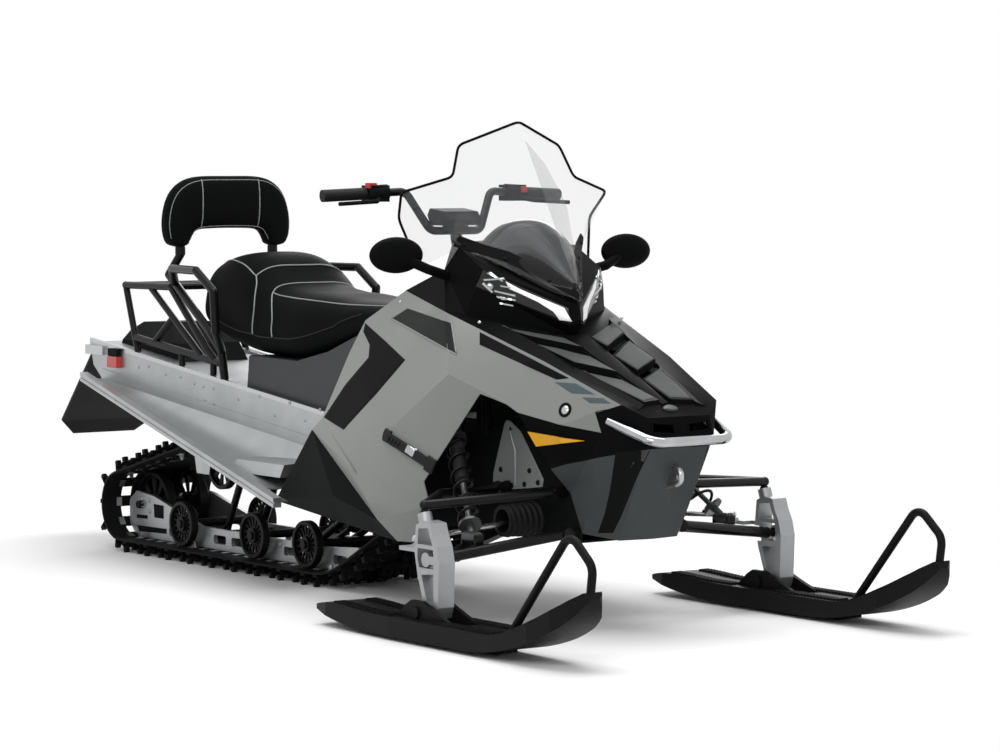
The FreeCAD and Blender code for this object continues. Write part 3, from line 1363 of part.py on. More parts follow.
def make_front_bumper():
    """Bright tube bent round the nose."""
    radius = size("bumper_tube_radius")
    ridge, stripe = Vector(*BODY["ridge_corner"]), Vector(*BODY["stripe_tip"])
    front_x = max(ridge.x + 42, BODY["ridge_centre"][0] + 38)
    right = [stripe + Vector(-40, -9, -43), Vector(front_x, ridge.y - 22, ridge.z - 6)]
    left = [Vector(p.x, -p.y, p.z) for p in reversed(right)]
    inside = skin_slab(NOSE_FACETS[2:6] + PANEL_FACETS[-2:], -size("clearance"), 40.0)
    return bent_tube(right + left, radius, 45.0).cut(inside).cut(mirrored(inside))


feature("front_bumper", make_front_bumper())


reflector = trim_on(NOSE_FACETS, [(953.0, 506.0), (1132.0, 490.0), (964.0, 466.0)], 5.0)
feature("reflectors", pair(reflector))


# Seat, tank and luggage gear


SEAT_TOP = [(-772.0, 690.0), (-800.0, 800.0), (-752.0, 884.0), (-690.0, 914.0), (-560.0, 920.0),
            (-470.0, 893.0), (-400.0, 832.0), (-200.0, 815.0), (0.0, 797.0), (188.0, 795.0)]
SEAT_BOTTOM = [(-780.0, 660.0), (-640.0, 646.0), (-480.0, 632.0), (-220.0, 628.0), (-60.0, 660.0),
               (135.0, 727.0), (190.0, 745.0)]
SEAT_BOTTOM_X = [x for x, z in reversed(SEAT_BOTTOM[1:])]
SEAT_FLANK = [(0.0, 600.0), (0.0, 680.0), (46.0, 925.0)]
SEAT_INSETS = [(-900.0, 44.0), (-690.0, 36.0), (-600.0, 16.0), (-480.0, 2.0), (-300.0, 0.0),
               (200.0, 66.0)]
PAD_HALF = [(-98.0, 59.0), (-120.0, 44.0), (-140.0, 6.0), (-168.0, 0.0), (-204.0, 24.0),
            (-214.0, 84.0), (-200.0, 148.0), (-168.0, 192.0), (-112.0, 214.0)]
LAMP_SIDE = [(20.0, 668.0), (70.0, 696.0), (230.0, 700.0), (330.0, 640.0)]
FLAP_HALF = [(-1352.0, 612.0), (-1620.0, 378.0), (-1650.0, 335.0)]


def seat_bottom(x):
    """Height of the seat's lower edge, which the tank's top follows."""
    for (x0, z0), (x1, z1) in zip(SEAT_BOTTOM, SEAT_BOTTOM[1:]):
        if x0 <= x <= x1:
            return along(z0, z1, (x - x0) / (x1 - x0))
    return SEAT_BOTTOM[-1][1]


def make_seat():
    """Two-level seat: side outline, tapered in section and towards the front."""
    half = size("seat_half_width")
    outline = SEAT_TOP + [(x, seat_bottom(x)) for x in SEAT_BOTTOM_X]
    side = side_plate(outline, -half, half)
    flank = [(y_inset - half, z) for y_inset, z in SEAT_FLANK]
    section = flank + [(-y, z) for y, z in reversed(flank)]
    across = prism([Vector(-900, y, z) for y, z in section], Vector(1200, 0, 0))
    plan = [(x, inset - half) for x, inset in SEAT_INSETS]
    plan += [(x, half - inset) for x, inset in reversed(SEAT_INSETS)]
    above = prism([Vector(x, y, 500) for x, y in plan], Vector(0, 0, 500))
    return side.common(across).common(above)


feature("seat", make_seat())


def make_tank():
    """Tank and skirt between the tunnel and the seat."""
    half = size("tunnel_width") / 2 - size("edge_rail_width") - 1
    gap = size("clearance")
    front, rear = size("tank_front_x"), size("tank_rear_x")
    outline = [(rear, tunnel_top(rear)), (rear + 12, seat_bottom(rear + 12) - gap)]
    outline += [(x, seat_bottom(x) - gap) for x in reversed(SEAT_BOTTOM_X[1:4])]
    outline += [(front, seat_bottom(front) - gap), (front, tunnel_top(front))]
    return side_plate(outline, -half, half)


feature("fuel_tank", make_tank())


def on_tunnel(x, y, above=0.0):
    """Point over the tunnel's top sheet."""
    return Vector(x, y, tunnel_top(x) + above)


def under_racks():
    """Everything below the top of the edge rails, to cut the feet of the racks to."""
    above = size("edge_rail_height") + size("clearance")
    rear, front = size("tunnel_rear_x"), 0.0
    corners = [on_tunnel(rear, -300, -200), on_tunnel(front, -300, -200),
               on_tunnel(front, -300, above), on_tunnel(rear, -300, above)]
    return prism(corners, Vector(0, 600, 0))


def make_rack():
    """Cargo rack: welded tubes over the rear of the tunnel."""
    r = size("rack_tube_radius")
    y = size("rack_tube_radius") - size("tunnel_width") / 2 + 1
    top_y = y + 14
    rear_top = Vector(-1186.0, top_y, 812.0)
    front_top = Vector(-918.0, top_y, 814.0)
    rail_rear, rail_front = Vector(-1096.0, y, 657.0), Vector(-640.0, y, 605.0)
    diagonal = [Vector(-1040.0, top_y, 812.0), Vector(-716.0, y, 616.0)]
    legs = [[rear_top, on_tunnel(-1086.0, y)], diagonal,
            [Vector(-993.0, y, 646.0), along(diagonal[0], diagonal[1], 0.45)],
            [on_tunnel(-830.0, y), Vector(-830.0, y, 632.0)],
            [on_tunnel(-652.0, y), Vector(-652.0, y, 610.0)]]
    rails = [[rear_top, front_top, Vector(-690.0, y, 640.0), rail_front],
             [rail_rear + Vector(-4, 0, 0), rail_front + Vector(30, 0, -3.4)]]
    right = [tube_run(points, r) for points in rails] + [tube_run(points, r - 1) for points in legs]
    right.append(Part.makeSphere(r + 0.5, rear_top))
    left = [mirrored(shape) for shape in right]
    across = [rod(p, Vector(p.x, -p.y, p.z), r - 1.5)
              for p in (rear_top, front_top, along(rear_top, front_top, 0.5))]
    return union(right + left + across).cut(under_racks())


feature("cargo_rack", make_rack())


def make_backrest_frame():
    """Backrest post, its long diagonal and front foot, and the passenger's grab handle."""
    r = size("post_tube_radius")
    outer = -size("tunnel_width") / 2 - 4
    pad_foot = size("pad_tip_height") - size("clearance")
    knee = Vector(-580.0, outer, 640.0)
    post = [Vector(-889.0, -160.0, pad_foot), Vector(-889.0, -160.0, pad_foot - 16),
            Vector(-925.0, -178.0, 850.0), Vector(-640.0, outer, 690.0), knee]
    handle = [Vector(-880.0, -184.0, 825.0), Vector(-800.0, -240.0, 872.0),
              Vector(-600.0, -278.0, 872.0), Vector(-503.0, -278.0, 815.0),
              Vector(-506.0, -270.0, 700.0), knee]
    foot = rod(knee, Vector(-584.0, outer + 14, tunnel_top(-584.0)), r)
    return union([tube_run(post, r), tube_run(handle, r), foot, Part.makeSphere(r, knee)]).cut(under_racks())


feature("backrest_frame", pair(make_backrest_frame()))


def make_pad():
    """Arch-shaped backrest cushion."""
    right = [(y, size("pad_tip_height") + rise) for y, rise in PAD_HALF]
    outline = right + [(-y, z) for y, z in reversed(right)]
    depth, front = size("backrest_depth"), size("backrest_front_x")
    return prism([Vector(front - depth, y, z) for y, z in outline], Vector(depth, 0, 0))


feature("backrest_pad", make_pad())


def make_tail_light():
    """Faceted lamp housing on the rear of the tunnel."""
    base, half, top = size("tail_light_x"), size("tail_light_half_width"), size("tail_light_top")
    shoulder = half - 44
    outline = [(base, tunnel_top(base))] + [(base + run, z) for run, z in LAMP_SIDE]
    outline.append((base + 380, tunnel_top(base + 380)))
    side = side_plate(outline, -half, half)
    section = [(-half, top - 145), (-half, top - 65), (-shoulder, top), (shoulder, top),
               (half, top - 65), (half, top - 145)]
    across = prism([Vector(base - 50, y, z) for y, z in section], Vector(500, 0, 0))
    return side.common(across)


feature("tail_light", make_tail_light())


def make_side_light():
    """Red lamp on the tunnel's right wall."""
    depth = size("side_light_depth")
    corner = Vector(size("side_light_x"), -size("tunnel_width") / 2 - depth, size("side_light_height"))
    return Part.makeBox(size("side_light_length"), depth, size("side_light_rise"), corner)


feature("side_lights", pair(make_side_light()))


def make_rear_bumper():
    """Flat bar that wraps the rear of the tunnel and holds on to both its walls."""
    outer = size("tunnel_width") / 2 + size("rear_bumper_gap")
    rear, front = size("tunnel_rear_x") - size("rear_bumper_reach"), size("rear_bumper_front_x")
    wall = size("rear_bumper_wall")
    outside = [(front, -outer), (rear + 40, -outer), (rear, -outer + 46), (rear, outer - 46),
               (rear + 40, outer), (front, outer)]
    inside = [(front, outer - wall), (rear + 44, outer - wall), (rear + wall, outer - 50),
              (rear + wall, -outer + 50), (rear + 44, -outer + wall), (front, -outer + wall)]
    ring = [Vector(x, y, size("rear_bumper_low")) for x, y in outside + inside]
    return prism(ring, Vector(0, 0, size("rear_bumper_rise")))


feature("rear_bumper", make_rear_bumper())


def make_snow_flap():
    """Rubber flap hanging from the tunnel's rear end."""
    top_half = size("tunnel_width") / 2 - size("sheet_thickness") - size("clearance")
    half_widths = (top_half, 165.0, 110.0)
    right = [Vector(x, -half, z) for (x, z), half in zip(FLAP_HALF, half_widths)]
    points = right + [Vector(p.x, -p.y, p.z) for p in reversed(right)]
    flap_wall = Vector(6, 0, -5)
    return faceted_slab(points, [(0, 1, 5), (1, 4, 5), (1, 2, 3), (1, 3, 4)], flap_wall)


feature("snow_flap", make_snow_flap())

document.recompute()
for obj in NODES:
    shape = obj.Shape
    if shape.isNull() or not shape.isValid():
        raise RuntimeError("Bad shape: " + obj.Label)
for obj in document.Objects:
    if "Invalid" in obj.State or "Error" in obj.State:
        raise RuntimeError("Failed feature: " + obj.Name)

os.makedirs("parts", exist_ok=True)
for obj in NODES:
    obj.Shape.exportStep("parts/%s.step" % obj.Label)
    print(obj.Label, len(obj.Shape.Solids), round(obj.Shape.Volume / 1000), "cm3")
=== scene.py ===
"""Dressed model of a two-seat touring snowmobile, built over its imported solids.

Every piece stands in the frame of the solids: metres, +X forward, +Y to the rider's left, +Z up.
"""

import logging
import math
from dataclasses import dataclass, field
from enum import Enum

import bmesh
import bpy
import numpy as np
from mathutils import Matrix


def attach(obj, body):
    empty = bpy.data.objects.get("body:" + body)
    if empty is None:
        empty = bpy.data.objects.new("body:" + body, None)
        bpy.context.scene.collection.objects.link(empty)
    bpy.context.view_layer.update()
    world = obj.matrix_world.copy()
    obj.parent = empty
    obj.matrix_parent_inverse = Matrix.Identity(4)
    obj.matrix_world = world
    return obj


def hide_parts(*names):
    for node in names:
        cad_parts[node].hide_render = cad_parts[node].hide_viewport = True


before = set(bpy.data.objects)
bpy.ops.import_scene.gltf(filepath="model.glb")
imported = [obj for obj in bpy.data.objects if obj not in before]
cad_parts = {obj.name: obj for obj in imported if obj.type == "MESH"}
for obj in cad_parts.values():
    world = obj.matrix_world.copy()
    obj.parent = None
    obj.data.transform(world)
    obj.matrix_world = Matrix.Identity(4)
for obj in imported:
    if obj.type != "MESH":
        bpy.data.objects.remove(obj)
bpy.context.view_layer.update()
LOG = logging.getLogger("snowmobile")

# A colour, a point in x, y and z, a line of points, and an outline with two values for each point.
Colour = tuple[float, float, float]
Point = tuple[float, float, float]
Line = tuple[Point, ...]
Outline = tuple[tuple[float, float], ...]

# Directions in the machine's frame; the last one goes inwards from the right front.
UP = (0.0, 0.0, 1.0)
DOWN = (0.0, 0.0, -1.0)
BACKWARDS = (-1.0, 0.0, 0.0)
LEFTWARDS = (0.0, 1.0, 0.0)
RIGHTWARDS = (0.0, -1.0, 0.0)
QUARTER_IN = (-0.81, 0.583, -0.061)

# White of the studio, then what all finishes share: coat, cloud of wear, depth and stretch of grains.
WHITE = (1.0, 1.0, 1.0, 1.0)
COAT_ROUGHNESS = 0.06
CLOUD_SCALE, CLOUD_DETAIL = 9.0, 5.0
CLOUD_LOW, CLOUD_HIGH = 0.35, 0.75
WORN_SHADE = 0.72
SMOOTHER, ROUGHER = 0.06, 0.08
GRAIN_DEPTH = 0.0006
BRUSH_STRETCH = (0.04, 1.0, 1.0)

# Lengths in metres and angles in degrees that several pieces share.
FILM = 0.0008
STEP_BACK = 0.4
WELD = 0.0001
FLAT_ANGLE = 1.0
BEVEL_ANGLE = 25.0
SHADING_MARGIN = 8.0


class Grain(Enum):
    """Fine relief of a finish."""

    SMOOTH = "smooth"
    MOULDED = "moulded"
    LEATHER = "leather"
    RUBBER = "rubber"
    CAST = "cast"
    BRUSHED = "brushed"
    MESH = "mesh"


@dataclass(frozen=True)
class Finish:
    """Look of one surface.

    Attributes:
        name: Material name.
        colour: Linear base colour.
        roughness: Mean roughness, which a cloud of noise varies a little.
        metallic: One for bare metal.
        coat: Weight of the clear coat.
        grain: Kind of fine relief.
        scale: Grains for each metre.
        relief: Strength of the relief.
        tint: Second colour that the wear and dust mix in.
        variation: Share of that second colour.
        alpha: One for a solid surface, less for a clear one.
        specular: Strength of the plain reflection.
    """

    name: str
    colour: Colour
    roughness: float = 0.5
    metallic: float = 0.0
    coat: float = 0.0
    grain: Grain = Grain.SMOOTH
    scale: float = 400.0
    relief: float = 0.1
    tint: Colour | None = None
    variation: float = 0.15
    alpha: float = 1.0
    specular: float = 0.5

    def material(self) -> bpy.types.Material:
        """Make the node material once and return it.

        A cloud of noise mixes the second colour in and varies the roughness.

        Returns:
            The material, shared by every piece with this finish.
        """
        found = bpy.data.materials.get(self.name)
        if found:
            return found
        made = bpy.data.materials.new(self.name)
        made.use_nodes = True
        nodes, links = made.node_tree.nodes, made.node_tree.links
        shader = nodes["Principled BSDF"]
        set_inputs(shader, {"Metallic": self.metallic, "Coat Weight": self.coat,
                            "Coat Roughness": COAT_ROUGHNESS, "Alpha": self.alpha,
                            "Specular IOR Level": self.specular})
        place = nodes.new("ShaderNodeTexCoord")
        cloud = nodes.new("ShaderNodeTexNoise")
        set_inputs(cloud, {"Scale": CLOUD_SCALE, "Detail": CLOUD_DETAIL})
        links.new(place.outputs["Object"], cloud.inputs["Vector"])
        mix = nodes.new("ShaderNodeMixRGB")
        second = self.tint or tuple(c * WORN_SHADE for c in self.colour)
        set_inputs(mix, {"Color1": (*self.colour, 1.0), "Color2": (*second, 1.0)})
        share = nodes.new("ShaderNodeMapRange")
        set_inputs(share, {"From Min": CLOUD_LOW, "From Max": CLOUD_HIGH, "To Max": self.variation})
        links.new(cloud.outputs["Fac"], share.inputs["Value"])
        links.new(share.outputs["Result"], mix.inputs["Fac"])
        links.new(mix.outputs["Color"], shader.inputs["Base Color"])
        rough = nodes.new("ShaderNodeMapRange")
        set_inputs(rough, {"To Min": max(0.02, self.roughness - SMOOTHER),
                           "To Max": min(1.0, self.roughness + ROUGHER)})
        links.new(cloud.outputs["Fac"], rough.inputs["Value"])
        links.new(rough.outputs["Result"], shader.inputs["Roughness"])
        if self.grain is not Grain.SMOOTH:
            bump = nodes.new("ShaderNodeBump")
            set_inputs(bump, {"Strength": self.relief, "Distance": GRAIN_DEPTH})
            links.new(self._relief_height(nodes, links, place), bump.inputs["Height"])
            links.new(bump.outputs["Normal"], shader.inputs["Normal"])
        return made

    def _relief_height(self, nodes: bpy.types.Nodes, links: bpy.types.NodeLinks,
                       place: bpy.types.Node) -> bpy.types.NodeSocket:
        """Add the texture of this finish's grain.

        Args:
            nodes: Nodes of the material.
            links: Links of the material.
            place: Texture coordinate node.

        Returns:
            Socket that carries the height.
        """
        cells = self.grain in (Grain.LEATHER, Grain.MOULDED, Grain.MESH)
        texture = nodes.new("ShaderNodeTexVoronoi" if cells else "ShaderNodeTexNoise")
        texture.inputs["Scale"].default_value = self.scale
        source = place.outputs["Object"]
        if self.grain is Grain.BRUSHED:
            stretch = nodes.new("ShaderNodeMapping")
            stretch.inputs["Scale"].default_value = BRUSH_STRETCH
            links.new(source, stretch.inputs["Vector"])
            source = stretch.outputs["Vector"]
        links.new(source, texture.inputs["Vector"])
        return texture.outputs["Distance" if cells else "Fac"]


SHEET = Finish("silver_sheet_metal", (0.44, 0.455, 0.46), 0.36, 1.0, grain=Grain.BRUSHED, scale=900,
               relief=0.10, tint=(0.33, 0.34, 0.345), variation=0.6)
BRIGHT = Finish("bright_extrusion", (0.52, 0.53, 0.54), 0.26, 1.0, grain=Grain.BRUSHED, scale=900, relief=0.1)
POLISHED = Finish("polished_tube", (0.50, 0.51, 0.52), 0.12, 1.0, tint=(0.22, 0.23, 0.24), variation=0.6)
TRACK_RUBBER = Finish("belt_rubber", (0.0055, 0.0055, 0.006), 0.62, grain=Grain.RUBBER, scale=700, relief=0.3,
                      tint=(0.014, 0.0145, 0.0145), variation=0.4, specular=0.08)
SOFT_RUBBER = Finish("soft_rubber", (0.004, 0.004, 0.0042), 0.62, grain=Grain.RUBBER, scale=900, relief=0.25,
                     specular=0.25)
WHEEL = Finish("wheel_moulding", (0.006, 0.0065, 0.0065), 0.48, grain=Grain.MOULDED, scale=900, relief=0.15,
               specular=0.14)
BLACK_PAINT = Finish("black_powder_coat", (0.003, 0.003, 0.0033), 0.28, grain=Grain.CAST, scale=1500,
                     relief=0.10, specular=0.18)
CAST = Finish("cast_alloy", (0.36, 0.37, 0.375), 0.44, 0.8, grain=Grain.CAST, scale=1100, relief=0.45)
DAMPER = Finish("damper_body", (0.06, 0.062, 0.064), 0.35, 0.4)
ZINC = Finish("zinc_rod", (0.50, 0.51, 0.51), 0.26, 1.0, grain=Grain.BRUSHED, scale=900, relief=0.08)
SKI = Finish("ski_moulding", (0.0075, 0.0076, 0.0078), 0.42, grain=Grain.MOULDED, scale=700, relief=0.15,
             specular=0.06)
GREY_PANEL = Finish("warm_grey_panel", (0.205, 0.217, 0.206), 0.38, coat=0.08, tint=(0.190, 0.201, 0.191),
                    specular=0.35)
BLACK_GLOSS = Finish("black_gloss_panel", (0.0048, 0.0050, 0.0051), 0.34, specular=0.014)
# Dark mouldings; also the film of painted shade in the recess of each nose flank.
DARK = Finish("dark_moulding_and_painted_shade", (0.0065, 0.0071, 0.0073), 0.48, grain=Grain.MOULDED, scale=900, relief=0.2,
              specular=0.03)
SLATE = Finish("slate_moulding", (0.032, 0.037, 0.040), 0.38, grain=Grain.MOULDED, scale=900, relief=0.12,
               specular=0.22)
LEATHER = Finish("seat_cover_leather", (0.0048, 0.0051, 0.0054), 0.50, grain=Grain.LEATHER, scale=420,
                 relief=0.3, specular=0.016)
AMBER = Finish("amber_reflector", (0.85, 0.42, 0.02), 0.30, coat=0.2)
RED = Finish("red_lamp", (0.52, 0.02, 0.015), 0.20, coat=0.5)
LENS = Finish("lamp_lens", (0.93, 0.95, 0.97), 0.05, coat=0.8)
CLEAR = Finish("clear_screen", (0.30, 0.32, 0.33), 0.04, alpha=0.085, tint=(0.30, 0.32, 0.33))
# Grey see-through film along the screen's crease: it paints the reflection seen along the crease.
PAINTED_CREASE_REFLECTION = Finish("screen_crease_painted_reflection", (0.16, 0.17, 0.175), 0.05, alpha=0.16)
# Black film for the decals, inlays and the screen's foot band; also painted shade in the slide rails'
# openings.
DECAL_AND_SHADE_FILM = Finish("matt_black_decal_and_painted_shade", (0.0075, 0.0068, 0.0070), 0.52, specular=0.03)
SLATE_DECAL = Finish("slate_decal", (0.065, 0.088, 0.098), 0.40, specular=0.3)
LOUVRE = Finish("louvre_grey", (0.060, 0.066, 0.064), 0.48, grain=Grain.MOULDED, scale=900, relief=0.1,
                specular=0.06)
NOSE_GREY = Finish("nose_grey_black", (0.045, 0.051, 0.051), 0.42, grain=Grain.MOULDED, scale=900,
                   relief=0.12, specular=0.2)
SATIN = Finish("satin_cap", (0.05, 0.052, 0.055), 0.3, specular=0.4)
SMOKED = Finish("smoked_lens", (0.006, 0.0065, 0.007), 0.10, coat=0.2, specular=0.3)
WHITE_LAMP = Finish("lit_white_strip", (0.96, 0.97, 0.98), 0.18, coat=0.8)
CHROME_DARK = Finish("dark_chrome", (0.35, 0.36, 0.37), 0.12, 1.0)
MESH_VENT = Finish("vent_mesh", (0.009, 0.012, 0.011), 0.5, grain=Grain.MESH, scale=260, relief=0.9,
                   specular=0.12)
PIPING = Finish("light_piping", (0.23, 0.24, 0.24), 0.5)
RED_SWITCH = Finish("red_switch", (0.42, 0.012, 0.012), 0.35)
GLOSS_DOME = Finish("gloss_dome", (0.004, 0.0042, 0.0045), 0.20, coat=0.04, specular=0.2)
LIGHT_PLATE = Finish("damper_plate_steel", (0.34, 0.35, 0.355), 0.40, 0.4)
CLIP = Finish("clip_steel", (0.42, 0.43, 0.44), 0.30, 1.0)
RAIL = Finish("rail_alloy", (0.42, 0.43, 0.44), 0.40, 0.85)


@dataclass
class Studio:
    """Floor, lamps and the camera of the photograph, in metres and degrees.

    Each lamp has a name, a place, the lengths of its two sides and its power in watts.
    """

    place: Point = (8.024, -5.392, 1.181)
    azimuth: float = 144.34
    elevation: float = -3.49
    lens: float = 125.3
    sensor_width: float = 36.0
    farthest: float = 200.0
    ambient: float = 0.5
    lit_point: Point = (0.0, 0.0, 0.5)
    lamps: tuple[tuple[str, Point, tuple[float, float], float], ...] = (
        ("overhead", (0.3, 0.0, 4.5), (5.0, 3.0), 165.0),
        ("front_right", (4.5, -4.0, 3.2), (3.0, 2.0), 90.0),
        ("rear_left", (-4.0, 4.0, 3.0), (3.0, 2.0), 75.0))
    floor_half: float = 30.0
    floor_height: float = -0.0005
    floor_colour: Colour = (0.97, 0.97, 0.97)
    floor_roughness: float = 0.75
    floor_specular: float = 0.1
    shadow_squash: Point = (0.62, 1.0, 0.0)
    shadow_fade: tuple[float, float] = (0.95, 1.9)

    def build(self) -> None:
        """Set up the world, floor, lamps, camera and view transform."""
        scene = bpy.context.scene
        scene.view_settings.view_transform = "Standard"
        self._world(scene)
        self._floor()
        self._lamps(scene)
        self._camera(scene)

    def _world(self, scene: bpy.types.Scene) -> None:
        """Give the world a soft even light that the camera sees as white.

        Args:
            scene: The scene that is lit.
        """
        world = bpy.data.worlds.new("studio_world")
        scene.world = world
        world.use_nodes = True
        nodes, links = world.node_tree.nodes, world.node_tree.links
        ambient = nodes["Background"]
        set_inputs(ambient, {"Color": WHITE, "Strength": self.ambient})
        white = nodes.new("ShaderNodeBackground")
        set_inputs(white, {"Color": WHITE, "Strength": 1.0})
        mix_shaders(nodes, links, seen_directly(nodes, links),
                    (ambient.outputs["Background"], white.outputs["Background"]), nodes["World Output"])

    def _floor(self) -> None:
        """Lay a pale floor that keeps the shadow near the machine and is plain white further off.

        The share of white follows the distance from the origin, with x squashed and z left out.
        """
        half, z = self.floor_half, self.floor_height
        corners = np.array([(-half, -half, z), (half, -half, z), (half, half, z), (-half, half, z)])
        floor = mesh_object("studio_floor", corners, [(0, 1, 2, 3)])
        made = bpy.data.materials.new("pale_floor")
        made.use_nodes = True
        nodes, links = made.node_tree.nodes, made.node_tree.links
        shader = nodes["Principled BSDF"]
        set_inputs(shader, {"Base Color": (*self.floor_colour, 1.0), "Roughness": self.floor_roughness,
                            "Specular IOR Level": self.floor_specular})
        white = nodes.new("ShaderNodeEmission")
        white.inputs["Color"].default_value = WHITE
        place = nodes.new("ShaderNodeTexCoord")
        squash = nodes.new("ShaderNodeMapping")
        squash.inputs["Scale"].default_value = self.shadow_squash
        distance = nodes.new("ShaderNodeVectorMath")
        distance.operation = "LENGTH"
        links.new(place.outputs["Object"], squash.inputs["Vector"])
        links.new(squash.outputs["Vector"], distance.inputs[0])
        fade = nodes.new("ShaderNodeMapRange")
        fade.interpolation_type = "SMOOTHSTEP"
        near, far = self.shadow_fade
        set_inputs(fade, {"From Min": near, "From Max": far})
        links.new(distance.outputs["Value"], fade.inputs["Value"])
        share = nodes.new("ShaderNodeMath")
        share.operation = "MULTIPLY"
        links.new(fade.outputs["Result"], share.inputs[0])
        links.new(seen_directly(nodes, links), share.inputs[1])
        mix_shaders(nodes, links, share.outputs["Value"],
                    (shader.outputs["BSDF"], white.outputs["Emission"]), nodes["Material Output"])
        floor.data.materials.append(made)

    def _lamps(self, scene: bpy.types.Scene) -> None:
        """Hang the soft lamps and turn each towards the lit point.

        Args:
            scene: The scene that they light.
        """
        for name, at, size, power in self.lamps:
            lamp = bpy.data.lights.new(name, "AREA")
            lamp.shape = "RECTANGLE"
            lamp.size, lamp.size_y = size
            lamp.energy = power
            holder = bpy.data.objects.new(name, lamp)
            scene.collection.objects.link(holder)
            holder.location = at
            towards = np.array(self.lit_point) - np.array(at)
            flat = math.hypot(towards[0], towards[1])
            holder.rotation_euler = (math.atan2(flat, -towards[2]), 0.0,
                                     math.atan2(towards[1], towards[0]) - math.pi / 2)

    def _camera(self, scene: bpy.types.Scene) -> None:
        """Place the camera where the photograph was taken from.

        Args:
            scene: The scene that it shows.
        """
        camera = bpy.data.cameras.new("photo_camera")
        camera.lens = self.lens
        camera.sensor_width = self.sensor_width
        camera.clip_end = self.farthest
        holder = bpy.data.objects.new("photo_camera", camera)
        scene.collection.objects.link(holder)
        holder.location = self.place
        holder.rotation_euler = (math.radians(90.0 + self.elevation), 0.0, math.radians(self.azimuth - 90.0))
        scene.camera = holder


def set_inputs(node: bpy.types.Node, values: dict[str, float | tuple]) -> None:
    """Set the plain values of several inputs of a node.

    Args:
        node: The node.
        values: Value for each input's name.
    """
    for name, value in values.items():
        node.inputs[name].default_value = value


def seen_directly(nodes: bpy.types.Nodes, links: bpy.types.NodeLinks) -> bpy.types.NodeSocket:
    """Add the highest of the camera, glossy and transmission ray outputs.

    Args:
        nodes: Nodes of the material or world.
        links: Its links.

    Returns:
        Socket that is one where the camera, a reflection or a clear part looks straight at it.
    """
    path = nodes.new("ShaderNodeLightPath")
    highest = path.outputs["Is Camera Ray"]
    for name in ("Is Glossy Ray", "Is Transmission Ray"):
        add = nodes.new("ShaderNodeMath")
        add.operation = "MAXIMUM"
        links.new(highest, add.inputs[0])
        links.new(path.outputs[name], add.inputs[1])
        highest = add.outputs["Value"]
    return highest


def mix_shaders(nodes: bpy.types.Nodes, links: bpy.types.NodeLinks, share: bpy.types.NodeSocket,
                pair: tuple[bpy.types.NodeSocket, bpy.types.NodeSocket], output: bpy.types.Node) -> None:
    """Send a mix of two shaders to the surface of an output node.

    Args:
        nodes: Nodes of the material or world.
        links: Its links.
        share: Socket that carries the second shader's share.
        pair: Sockets of both shaders.
        output: The output node.
    """
    mix = nodes.new("ShaderNodeMixShader")
    links.new(share, mix.inputs["Fac"])
    links.new(pair[0], mix.inputs[1])
    links.new(pair[1], mix.inputs[2])
    links.new(mix.outputs["Shader"], output.inputs["Surface"])


def mesh_object(name: str, points: np.ndarray, faces: list[tuple[int, ...]] | np.ndarray) -> bpy.types.Object:
    """Make an object at the origin from an array of points and their faces.

    Args:
        name: Object name.
        points: Array of n by 3 coordinates in metres.
        faces: Point numbers of each face.

    Returns:
        The linked object.
    """
    mesh = bpy.data.meshes.new(name)
    rows = faces.tolist() if isinstance(faces, np.ndarray) else list(faces)
    mesh.from_pydata(np.asarray(points, float).tolist(), [], rows)
    mesh.update()
    made = bpy.data.objects.new(name, mesh)
    bpy.context.scene.collection.objects.link(made)
    return made


